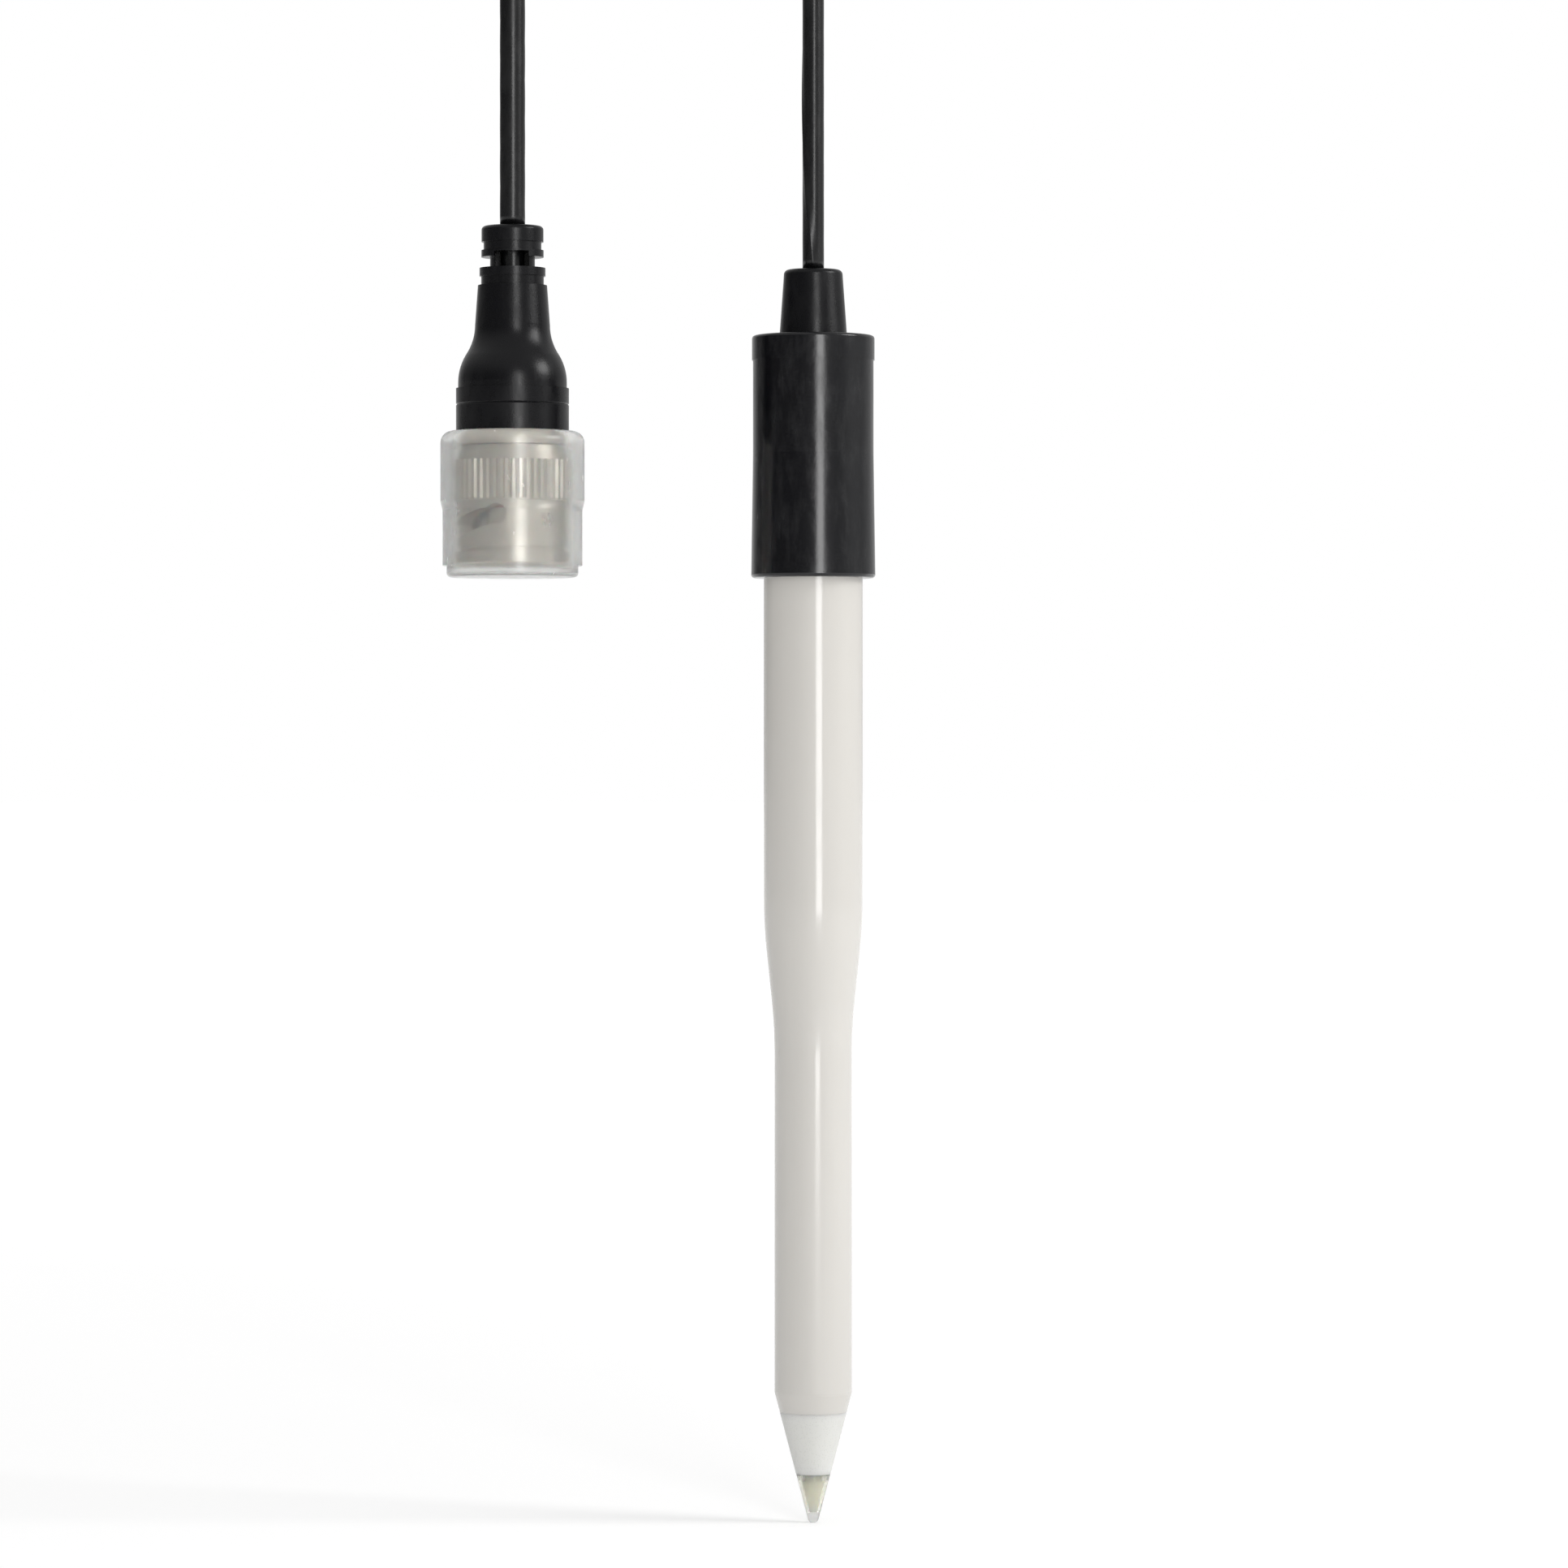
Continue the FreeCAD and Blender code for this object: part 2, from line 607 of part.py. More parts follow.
def pigtail():
    """The shield, twisted into a wire that bends out from the jacket to the reference wire."""
    body = DOC.addObject("PartDesign::Body", "shield_pigtail")
    put(body, PROBE)
    top = number(JACKET_END)
    foot = number(WIRE_TOP)
    near = size("shield_exit")
    far = number(REFERENCE_WIRE)
    straight = size("shield_straight") * (top - foot)
    bend = size("shield_bend")
    corners = [(near, top), (near, top - straight), (far, foot + straight), (far, foot)]
    corners = [FreeCAD.Vector(x, z, 0) for x, z in corners]
    lean = (corners[2] - corners[1]).getAngle(corners[1] - corners[0])
    reach = bend * math.tan(lean / 2)
    slope = (corners[2] - corners[1]).normalize()
    down = FreeCAD.Vector(0, -1, 0)
    upper = (corners[1] - down * reach, corners[1] + slope * reach)
    lower = (corners[2] - slope * reach, corners[2] + down * reach)
    path = sketch_on(body, "XZ_Plane", "pigtail_path")
    path.addGeometry(Part.LineSegment(corners[0], upper[0]), False)
    path.addGeometry(arc_through(upper[0], upper[1], bend, -1), False)
    path.addGeometry(Part.LineSegment(upper[1], lower[0]), False)
    path.addGeometry(arc_through(lower[0], lower[1], bend, 1), False)
    path.addGeometry(Part.LineSegment(lower[1], corners[3]), False)
    section = sketch_on(body, "XY_Plane", "pigtail_section")
    section.setExpression("AttachmentOffset.Base.z", JACKET_END)
    start = FreeCAD.Vector(near, 0, 0)
    section.addGeometry(Part.Circle(start, VERTICAL, size("shield_radius")), False)
    tie_distance(section, "DistanceX", 0, 3, "sizes.shield_exit", "across")
    section.addConstraint(Sketcher.Constraint("PointOnObject", 0, 3, -1))
    index = section.addConstraint(Sketcher.Constraint("Radius", 0, size("shield_radius")))
    section.renameConstraint(index, "wire")
    section.setExpression("Constraints.wire", "sizes.shield_radius")
    pipe = body.newObject("PartDesign::AdditivePipe", "pigtail_pipe")
    pipe.Profile = section
    pipe.Spine = (path, [f"Edge{i}" for i in range(1, path.GeometryCount + 1)])
    DOC.recompute()
    node(body, "shield_pigtail")


# Levels of the plug, down from the top of its boot.
BOOT_FOOT = "-sizes.boot_length"
BLOCK_TOP = f"{BOOT_FOOT} + sizes.block_length"
FLANGE_FOOT = f"{BOOT_FOOT} - sizes.flange_thickness"
NUT_REAR = f"{FLANGE_FOOT} - sizes.nut_gap"
NUT_WALL_FOOT = f"{NUT_REAR} - sizes.nut_wall"
WASHER_TOP = f"{NUT_WALL_FOOT} - sizes.spring_height"
COLLAR_TOP = f"{WASHER_TOP} - sizes.washer_thickness"
COLLAR_FOOT = f"{COLLAR_TOP} - sizes.collar_thickness"
GASKET_FOOT = f"{COLLAR_FOOT} - sizes.gasket_thickness"
CONTACT_FRONT = f"{COLLAR_FOOT} - sizes.contact_length"
NUT_FRONT = f"{NUT_REAR} - sizes.nut_length"
COVER_TOP = f"{BOOT_FOOT} + sizes.cover_lap"
COVER_FLOOR = f"{NUT_FRONT} - sizes.cover_end_gap"
COVER_FOOT = f"{COVER_FLOOR} - sizes.cover_floor"
INSULATOR_TOP = f"{BOOT_FOOT} + sizes.insulator_rise"
INSULATOR_FRONT = f"{CONTACT_FRONT} + sizes.insulator_recess"
PIN_TOP = f"{INSULATOR_TOP} - sizes.pin_recess"
PLUG_JACKET_END = "-sizes.plug_jacket_length"
CRIMP_FOOT = f"{BLOCK_TOP} + sizes.crimp_gap"
# Radii of the plug, outwards from its contact.
CONTACT_ROOT = "sizes.contact_radius - sizes.contact_root_step"
CONTACT_BORE = "sizes.contact_radius - sizes.contact_wall"
TENON = f"{CONTACT_BORE} - sizes.boot_clearance"
COLLAR = "sizes.contact_radius + sizes.collar_step"
NUT_BORE = f"{COLLAR} + sizes.nut_bore_clearance"
KNURL = f"{NUT_BORE} + sizes.nut_side"
FLANGE = "sizes.block_radius + sizes.flange_step"
BOOT_RIM = "sizes.block_radius + sizes.boot_wall"
LIP_BORE = f"max({KNURL}; {FLANGE}; {BOOT_RIM}) + sizes.cover_grip_clearance"


def boot():
    """The moulded boot: a banded foot, a curved shoulder, and a ringed and slotted strain relief."""
    relief_foot = "-sizes.relief_length"
    step_top = f"{relief_foot} + sizes.relief_step_height"
    ring_top = f"{step_top} + sizes.relief_ring_height"
    groove_top = f"{ring_top} + sizes.deep_groove_height"
    middle_top = f"{groove_top} + sizes.middle_ring_height"
    shallow_top = f"{middle_top} + sizes.shallow_groove_height"
    socket = "sizes.block_radius + sizes.boot_clearance"
    crimp_rim = "sizes.crimp_stem_radius + sizes.braid_wall + sizes.crimp_wall"
    crimp_bore = f"{crimp_rim} + sizes.crimp_pocket_clearance"
    crimp_top = f"{CRIMP_FOOT} + sizes.crimp_length + sizes.crimp_pocket_gap"
    curve = "sizes.shoulder_curve"
    shoulder = f"{BOOT_RIM} - sizes.boot_band_step"
    line_foot = f"{BOOT_FOOT} + sizes.boot_line_foot"
    body = turned("plug_boot", PLUG, [
        (socket, BOOT_FOOT),
        (BOOT_RIM, BOOT_FOOT),
        (BOOT_RIM, line_foot),
        (f"{BOOT_RIM} - sizes.boot_line_depth", f"{line_foot} + sizes.boot_line_height / 2"),
        (BOOT_RIM, f"{line_foot} + sizes.boot_line_height"),
        (BOOT_RIM, f"{BOOT_FOOT} + sizes.boot_band"),
        (shoulder, f"{BOOT_FOOT} + sizes.boot_band"),
        (shoulder, f"{BOOT_FOOT} + sizes.shoulder_start"),
        ("sizes.shoulder_middle_radius", f"{BOOT_FOOT} + sizes.shoulder_middle", curve, -1),
        ("sizes.shoulder_end_radius", f"{BOOT_FOOT} + sizes.shoulder_end", curve, 1),
        ("sizes.boot_neck_radius", relief_foot),
        ("sizes.relief_step_radius", relief_foot),
        ("sizes.relief_step_radius", step_top),
        ("sizes.relief_ring_radius", step_top),
        ("sizes.relief_ring_radius", ring_top),
        ("sizes.deep_groove_radius", ring_top),
        ("sizes.deep_groove_radius", groove_top),
        ("sizes.middle_ring_radius", groove_top),
        ("sizes.middle_ring_radius", middle_top),
        ("sizes.shallow_groove_radius", middle_top),
        ("sizes.shallow_groove_radius", shallow_top),
        ("sizes.end_ring_radius", shallow_top),
        ("sizes.end_ring_radius", "0"),
        (CORD_BORE, "0"),
        (CORD_BORE, crimp_top),
        (crimp_bore, crimp_top),
        (crimp_bore, BLOCK_TOP),
        (socket, BLOCK_TOP),
    ])
    rounded(body, [("sizes.end_ring_radius", "0")], "sizes.boot_edge")
    boot_windows(body, ring_top)


def boot_windows(body, foot):
    """A window in the front and in the back of the strain relief, over its deep groove."""
    before = body.Shape.Volume
    half = "sizes.window_width / 2"
    top = f"{foot} + sizes.window_height"
    section = sketch_on(body, "XZ_Plane", "window_section")
    section.setExpression("AttachmentOffset.Base.z", "sizes.window_floor")
    outline(section, [(f"-{half}", foot), (half, foot), (half, top), (f"-{half}", top)])
    window = body.newObject("PartDesign::Pocket", "boot_window")
    window.Profile = section
    window.Reversed = True
    window.setExpression("Length", "sizes.relief_ring_radius")
    DOC.recompute()
    repeat(body, window, section, 2, 360)
    if body.Shape.Volume >= before:
        raise RuntimeError("the boot's windows cut nothing")


def plug_metal():
    """Rear body, front body with its journal and collar, slotted contact, insulator and pin."""
    socket = "sizes.journal_radius"
    socket_top = f"{BOOT_FOOT} + sizes.journal_press"
    insulator_bore = "sizes.insulator_radius + sizes.boot_clearance"
    stem_top = f"{BLOCK_TOP} + sizes.crimp_stem_length"
    turned("rear_body", PLUG, [
        (socket, FLANGE_FOOT),
        (FLANGE, FLANGE_FOOT),
        (FLANGE, BOOT_FOOT),
        ("sizes.block_radius", BOOT_FOOT),
        ("sizes.block_radius", BLOCK_TOP),
        ("sizes.crimp_stem_radius", BLOCK_TOP),
        ("sizes.crimp_stem_radius", stem_top),
        ("sizes.conductor_bore", stem_top),
        ("sizes.conductor_bore", INSULATOR_TOP),
        (insulator_bore, INSULATOR_TOP),
        (insulator_bore, socket_top),
        (socket, socket_top),
    ])
    tenon_foot = f"{COLLAR_FOOT} - sizes.tenon_length"
    turned("plug_body", PLUG, [
        (insulator_bore, tenon_foot),
        (TENON, tenon_foot),
        (TENON, COLLAR_FOOT),
        (COLLAR, COLLAR_FOOT),
        (COLLAR, COLLAR_TOP),
        ("sizes.journal_radius", COLLAR_TOP),
        ("sizes.journal_radius", socket_top),
        (insulator_bore, socket_top),
    ])
    contact = turned("contact_sleeve", PLUG, [
        (CONTACT_BORE, CONTACT_FRONT),
        ("sizes.contact_radius", CONTACT_FRONT),
        ("sizes.contact_radius", GASKET_FOOT),
        (CONTACT_ROOT, GASKET_FOOT),
        (CONTACT_ROOT, COLLAR_FOOT),
        (CONTACT_BORE, COLLAR_FOOT),
    ])
    half = "sizes.contact_slot / 2"
    slot_top = f"{CONTACT_FRONT} + sizes.contact_slot_length"
    slot_foot = f"{CONTACT_FRONT} - sizes.contact_slot_overrun"
    slot = [(f"-{half}", slot_foot), (half, slot_foot), (half, slot_top), (f"-{half}", slot_top)]
    slotted(contact, "contact_slot", slot, CONTACT_FINGERS, "sizes.contact_slot_turn")
    insulator_pin_bore = "sizes.pin_root_radius + sizes.cord_clearance"
    insulator_rim = "sizes.insulator_radius"
    ring("insulator", PLUG, insulator_pin_bore, insulator_rim, INSULATOR_FRONT, INSULATOR_TOP)
    pin_front = f"{INSULATOR_FRONT} - sizes.pin_reach"
    pin = turned("centre_pin", PLUG, [
        ("0", pin_front),
        ("sizes.pin_radius", pin_front),
        ("sizes.pin_radius", INSULATOR_FRONT),
        ("sizes.pin_root_radius", INSULATOR_FRONT),
        ("sizes.pin_root_radius", PIN_TOP),
        ("0", PIN_TOP),
    ])
    rounded(pin, [("sizes.pin_radius", pin_front)], "sizes.pin_edge")


def plug_seals():
    """Gasket on the collar's face, and the thrust washer that carries the wave spring."""
    gasket_bore = f"{CONTACT_ROOT} + sizes.seal_clearance"
    ring("gasket", PLUG, gasket_bore, COLLAR, GASKET_FOOT, COLLAR_FOOT)
    washer_bore = "sizes.journal_radius + sizes.journal_clearance"
    ring("thrust_washer", PLUG, washer_bore, COLLAR, COLLAR_TOP, WASHER_TOP)


def wave_curve(radius, middle, swing):
    """A closed curve round the axis that rises and falls with the waves of the spring."""
    steps = 8 * SPRING_WAVES
    points = []
    for i in range(steps):
        angle = 2 * math.pi * i / steps
        height = middle + swing * math.cos(SPRING_WAVES * angle)
        points.append(FreeCAD.Vector(radius * math.cos(angle), radius * math.sin(angle), height))
    curve = Part.BSplineCurve()
    curve.interpolate(Points=points, PeriodicFlag=True)
    return curve.toShape()


def wave_spring():
    """A flat spring ring with three waves between the thrust washer and the nut's rear wall."""
    strip = size("spring_strip")
    swing = (size("spring_height") - strip) / 2
    low = number(WASHER_TOP) + swing
    inner = number("sizes.journal_radius + sizes.spring_inner_gap")
    outer = number(f"{COLLAR} - sizes.spring_outer_gap")
    edges = []
    for radius, lift in ((inner, 0), (outer, 0), (outer, strip), (inner, strip)):
        edges.append(wave_curve(radius, low + lift, swing))
    faces = []
    for i, edge in enumerate(edges):
        faces += Part.makeRuledSurface(edge, edges[(i + 1) % len(edges)]).Faces
    shell = Part.makeShell(faces)
    solid = Part.makeSolid(shell)
    solid.fix(1e-6, 1e-6, 1e-6)
    if solid.Volume < 0:
        solid.reverse()
    spring = DOC.addObject("Part::Feature", "wave_spring")
    spring.Shape = solid
    put(spring, PLUG)
    node(spring, "wave_spring")


def lead_in_boot():
    """The lead's other end: jacket, core, braid folded over the crimp stem, and the crimp sleeve."""
    rod("plug_lead_end", PLUG, "sizes.cord_radius", PLUG_JACKET_END, "0")
    rod("plug_core", PLUG, "sizes.core_radius", PIN_TOP, PLUG_JACKET_END)
    braid_bore = "sizes.crimp_stem_radius + sizes.boot_clearance"
    braid_rim = f"{braid_bore} + sizes.braid_wall"
    braid_top = f"{BLOCK_TOP} + sizes.crimp_stem_length + sizes.braid_reach"
    ring("shield_braid", PLUG, braid_bore, braid_rim, CRIMP_FOOT, braid_top)
    sleeve_bore = f"{braid_rim} + sizes.boot_clearance"
    sleeve_rim = f"{sleeve_bore} + sizes.crimp_wall"
    ring("plug_crimp", PLUG, sleeve_bore, sleeve_rim, CRIMP_FOOT, f"{CRIMP_FOOT} + sizes.crimp_length")


def coupling_nut():
    """The bayonet nut: knurled band, two through slots that wind up the wall, and their detents."""
    knurl_top = f"{NUT_REAR} - sizes.nut_shoulder_height"
    knurl_foot = f"{knurl_top} - sizes.knurl_height"
    rim_top = f"{NUT_FRONT} + sizes.nut_rim_height"
    groove_top = f"{rim_top} + sizes.nut_groove_height"
    waist = f"{KNURL} - sizes.nut_waist_step"
    rim = f"{KNURL} - sizes.nut_rim_step"
    groove_floor = f"{waist} - sizes.nut_groove_depth"
    bore = "sizes.journal_radius + sizes.journal_clearance"
    nut = turned("coupling_nut", PLUG, [
        (bore, NUT_REAR),
        (f"{KNURL} - sizes.nut_rear_step", NUT_REAR),
        (waist, knurl_top),
        (KNURL, knurl_top),
        (KNURL, knurl_foot),
        (waist, knurl_foot),
        (waist, groove_top),
        (groove_floor, groove_top),
        (groove_floor, rim_top),
        (rim, rim_top),
        (rim, NUT_FRONT),
        (NUT_BORE, NUT_FRONT),
        (NUT_BORE, NUT_WALL_FOOT),
        (bore, NUT_WALL_FOOT),
    ])
    edges = [(rim, NUT_FRONT), (NUT_BORE, NUT_FRONT)]
    rounded(nut, edges, "sizes.nut_edge")
    knurl(nut, knurl_foot)
    bayonet_slots(nut)


def bayonet_slots(nut):
    """Each slot enters at the front inside the rim, winds up a quarter turn and ends in a round detent."""
    before = nut.Shape.Volume
    floor = f"{NUT_FRONT} + sizes.slot_start"
    ceiling = f"{floor} + sizes.slot_width"
    inside = f"{NUT_BORE} - sizes.slot_overrun"
    outside = f"{KNURL} + sizes.slot_overrun"
    section = sketch_on(nut, "XZ_Plane", "bayonet_section")
    outline(section, [(inside, floor), (outside, floor), (outside, ceiling), (inside, ceiling)])
    winding = nut.newObject("PartDesign::SubtractiveHelix", "bayonet_slot")
    winding.Profile = section
    winding.ReferenceAxis = (section, ["V_Axis"])
    winding.Mode = "pitch-height-angle"
    winding.setExpression("Pitch", "sizes.slot_pitch")
    winding.setExpression("Height", "sizes.slot_rise")
    DOC.recompute()
    repeat(nut, winding, section, BAYONET_SLOTS, 360)
    half = "sizes.slot_width / 2"
    entry = f"({NUT_BORE} + sizes.slot_entry_depth)"
    mouth = sketch_on(nut, "XY_Plane", "bayonet_mouth")
    mouth.setExpression("AttachmentOffset.Base.z", f"{NUT_FRONT} - sizes.mouth_overrun")
    outline(mouth, [(f"-{entry}", f"-{half}"), (entry, f"-{half}"), (entry, half), (f"-{entry}", half)])
    way_in = nut.newObject("PartDesign::Pocket", "bayonet_way_in")
    way_in.Profile = mouth
    way_in.Reversed = True
    way_in.setExpression("Length", f"sizes.mouth_overrun + sizes.slot_start + {half}")
    DOC.recompute()
    turn = number("360 * sizes.slot_rise / sizes.slot_pitch")
    height = f"{floor} + sizes.slot_rise + {half}"
    hole = sketch_on(nut, "XZ_Plane", "detent_circle")
    facing = FreeCAD.Rotation(FreeCAD.Vector(0, 1, 0), turn - 90)
    hole.AttachmentOffset = FreeCAD.Placement(FreeCAD.Vector(), facing)
    middle = FreeCAD.Vector(0, number(height), 0)
    hole.addGeometry(Part.Circle(middle, VERTICAL, size("detent_radius")), False)
    hole.addConstraint(Sketcher.Constraint("PointOnObject", 0, 3, -2))
    tie_distance(hole, "DistanceY", 0, 3, height, "up")
    index = hole.addConstraint(Sketcher.Constraint("Radius", 0, size("detent_radius")))
    hole.renameConstraint(index, "detent")
    hole.setExpression("Constraints.detent", "sizes.detent_radius")
    detent = nut.newObject("PartDesign::Pocket", "bayonet_detent")
    detent.Profile = hole
    detent.Type = "ThroughAll"
    detent.Midplane = True
    DOC.recompute()
    if nut.Shape.Volume >= before:
        raise RuntimeError("the bayonet slots cut nothing")


def knurl(nut, foot):
    """Straight V grooves round the band, their points at the knurl's depth."""
    before = nut.Shape.Volume
    half = f"{math.pi:.6f} * ({KNURL}) / {KNURL_TEETH}"
    section = sketch_on(nut, "XY_Plane", "knurl_section")
    section.setExpression("AttachmentOffset.Base.z", f"{foot} - sizes.knurl_overrun")
    rim = f"{KNURL} + sizes.knurl_overrun"
    floor = f"{KNURL} - sizes.knurl_depth"
    outline(section, [(floor, "0"), (rim, half), (rim, f"-{half}")])
    groove = nut.newObject("PartDesign::Pocket", "knurl_groove")
    groove.Profile = section
    groove.Reversed = True
    groove.setExpression("Length", "sizes.knurl_height + 2 * sizes.knurl_overrun")
    DOC.recompute()
    repeat(nut, groove, section, KNURL_TEETH, 360, "N_Axis")
    if nut.Shape.Volume >= before:
        raise RuntimeError("the knurl cut nothing")


def cover():
    """The push-on cover: a closed cup with a thick lip that grips behind the nut's knurl."""
    rim = f"{LIP_BORE} + sizes.cover_wall"
    waist = f"{rim} - sizes.cover_waist_drop"
    foot = f"{rim} - sizes.cover_foot_drop"
    cavity = f"{LIP_BORE} + sizes.cover_cavity_step"
    lip_foot = f"{COVER_TOP} - sizes.cover_lip_height"
    band_foot = f"{COVER_TOP} - sizes.cover_band"
    waist_top = f"{band_foot} - sizes.cover_step"
    foot_top = f"{COVER_FOOT} + sizes.cover_foot_height"
    cup = turned("plug_cover", PLUG, [
        ("0", COVER_FOOT),
        (foot, COVER_FOOT),
        (foot, foot_top),
        (waist, foot_top),
        (waist, waist_top),
        (rim, band_foot),
        (rim, COVER_TOP),
        (LIP_BORE, COVER_TOP),
        (LIP_BORE, lip_foot),
        (cavity, lip_foot),
        (cavity, COVER_FLOOR),
        ("0", COVER_FLOOR),
    ])
    rounded(cup, [(rim, COVER_TOP)], "sizes.cover_top_edge")
    rounded(cup, [(foot, COVER_FOOT)], "sizes.cover_foot_edge")


COIL_CENTRE = "-(sizes.coil_mean_radius - sizes.coil_half_height)"
COIL_INSIDE = "sizes.coil_mean_radius - sizes.coil_half_height"
COIL_OUTSIDE = "sizes.coil_mean_radius + sizes.coil_half_height"
FACING_BACK = FreeCAD.Rotation(FreeCAD.Vector(1, 0, 0), -90)


def wound(name, inner, outer, front, back, corner, sweep, turn):
    """A rounded band of the coil's section, swept round the coil's axis; turn is where its middle is."""
    body = DOC.addObject("PartDesign::Body", name)
    about_axis = FreeCAD.Rotation(VERTICAL, -turn)
    body.Placement = FreeCAD.Placement(FreeCAD.Vector(), FACING_BACK.multiply(about_axis))
    body.setExpression("Placement.Base.z", COIL_CENTRE)
    section = sketch_on(body, "XZ_Plane", f"{name}_section")
    corners = [(inner, front), (outer, front), (outer, back), (inner, back)]
    outline(section, corners)
    band = body.newObject("PartDesign::Revolution", f"{name}_sweep")
    band.Profile = section
    band.ReferenceAxis = (section, ["V_Axis"])
    band.Midplane = True
    band.setExpression("Angle", sweep)
    DOC.recompute()
    rounded(body, corners, corner)
    return body


def coil():
    """The spare lead, wound into a ring and tied on both sides just above where the leads leave it."""
    whole = wound("lead_coil", COIL_INSIDE, COIL_OUTSIDE, "-sizes.coil_front", "sizes.coil_back",
                  "sizes.coil_corner", "360", 0)
    node(whole, "lead_coil")
    for side, turn in (("right", size("tie_turn")), ("left", 180 - size("tie_turn"))):
        blank = wound(f"tie_blank_{side}", f"{COIL_INSIDE} - sizes.tie_thickness",
                      f"{COIL_OUTSIDE} + sizes.tie_thickness", "-sizes.coil_front - sizes.tie_thickness",
                      "sizes.coil_back + sizes.tie_thickness", "sizes.coil_corner + sizes.tie_thickness",
                      "sizes.tie_sweep", turn)
        tie = DOC.addObject("Part::Cut", f"coil_tie_{side}")
        tie.Base = blank
        tie.Tool = whole
        node(tie, f"coil_tie_{side}")
    return whole


def lead(name, axis, foot, whole):
    """One straight hanging run of the lead, from its strain relief up to the side of the coil."""
    run = DOC.addObject("Part::Cylinder", f"{name}_run")
    run.setExpression("Radius", "sizes.cord_radius")
    run.setExpression("Height", f"{COIL_CENTRE} - ({axis[1]} + {foot})")
    put(run, axis, foot)
    cut = DOC.addObject("Part::Cut", name)
    cut.Base = run
    cut.Tool = whole
    node(cut, name)
    DOC.recompute()
    length = run.Height.Value
    share = run.Shape.Volume / (math.pi * run.Radius.Value**2 * length)
    print(f"{name}: length {length:.2f}, volume {share:.4f} of section times length")


def check_and_write():
    """Stops on any failed object or bad shape, then writes one STEP file per piece."""
    DOC.recompute()
    for thing in DOC.Objects:
        if "Invalid" in thing.State or "Error" in thing.State:
            raise RuntimeError(f"{thing.Name} failed: {thing.State}")
    os.makedirs("parts", exist_ok=True)
    for name, thing in NODES.items():
        shape = thing.Shape
        if shape.isNull() or not shape.isValid() or not shape.Solids or shape.Volume <= 0:
            raise RuntimeError(f"{name} has no good solid")
    for name, thing in NODES.items():
        thing.Shape.exportStep(f"parts/{name}.step")
        print(f"{name}: {len(thing.Shape.Solids)} solid, {thing.Shape.Volume:.1f} mm3")


spear_tip()
barrel()
reference_chamber()
cap()
lead_in_cap()
boot()
plug_metal()
plug_seals()
wave_spring()
lead_in_boot()
coupling_nut()
cover()
COIL = coil()
lead("probe_lead", PROBE, GRIP_TOP, COIL)
lead("plug_lead", PLUG, "0", COIL)
check_and_write()
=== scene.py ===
import json
import math

import bmesh
import bpy
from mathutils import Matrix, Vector, geometry


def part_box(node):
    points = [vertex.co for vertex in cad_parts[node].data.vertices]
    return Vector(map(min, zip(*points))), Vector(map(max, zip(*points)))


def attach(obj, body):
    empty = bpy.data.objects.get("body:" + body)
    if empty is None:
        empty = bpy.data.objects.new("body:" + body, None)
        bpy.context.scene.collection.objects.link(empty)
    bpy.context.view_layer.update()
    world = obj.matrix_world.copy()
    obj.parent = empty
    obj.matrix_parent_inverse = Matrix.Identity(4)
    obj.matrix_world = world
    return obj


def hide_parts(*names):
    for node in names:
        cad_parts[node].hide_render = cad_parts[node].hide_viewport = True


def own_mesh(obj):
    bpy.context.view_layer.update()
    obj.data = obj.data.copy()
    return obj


# A water quality probe hanging by its coiled lead: white pencil electrode with a glass spear tip on the
# right, bayonet plug under a translucent push-on cover on the left. Metres, in the CAD model's frame.

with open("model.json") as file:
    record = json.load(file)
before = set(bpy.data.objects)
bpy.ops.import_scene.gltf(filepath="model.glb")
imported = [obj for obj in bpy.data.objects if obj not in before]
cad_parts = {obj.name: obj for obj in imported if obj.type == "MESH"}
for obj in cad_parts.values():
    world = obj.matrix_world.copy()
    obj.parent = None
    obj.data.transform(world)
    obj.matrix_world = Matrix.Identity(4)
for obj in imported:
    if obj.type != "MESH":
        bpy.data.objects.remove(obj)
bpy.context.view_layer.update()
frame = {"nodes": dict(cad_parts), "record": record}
MM = 0.001

# Places that the frame gives.
probe_low, probe_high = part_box("barrel")
boot_low, boot_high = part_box("plug_boot")
grip_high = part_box("cord_grip")[1]
coil_low, coil_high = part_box("lead_coil")
glass_low, glass_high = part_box("glass_tip")
stem_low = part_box("stem_tube")[0]
spring_low, spring_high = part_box("wave_spring")
PROBE_X = (probe_low.x + probe_high.x) / 2
PLUG_X = (boot_low.x + boot_high.x) / 2
FLOOR_Z = glass_low.z
COIL_CENTRE = Vector(((coil_low.x + coil_high.x) / 2, 0, (coil_low.z + coil_high.z) / 2))

# ---------------------------------------------------------------- camera

CAMERA_DISTANCE = 0.8
SENSOR_WIDTH = 36  # millimetres
VIEW_WIDTH = 0.1903  # what the view takes in at the probe's distance
VIEW_CENTRE = (PROBE_X - 3.55 * MM, FLOOR_Z + 89.6 * MM)


def camera():
    """Level, square to the two hanging axes."""
    data = bpy.data.cameras.new("camera")
    data.sensor_width = SENSOR_WIDTH
    data.lens = data.sensor_width * CAMERA_DISTANCE / VIEW_WIDTH
    eye = bpy.data.objects.new("camera", data)
    eye.location = (VIEW_CENTRE[0], -CAMERA_DISTANCE, VIEW_CENTRE[1])
    eye.rotation_euler = (math.radians(90), 0, 0)
    bpy.context.scene.collection.objects.link(eye)
    bpy.context.scene.camera = eye


# ---------------------------------------------------------------- shader maths


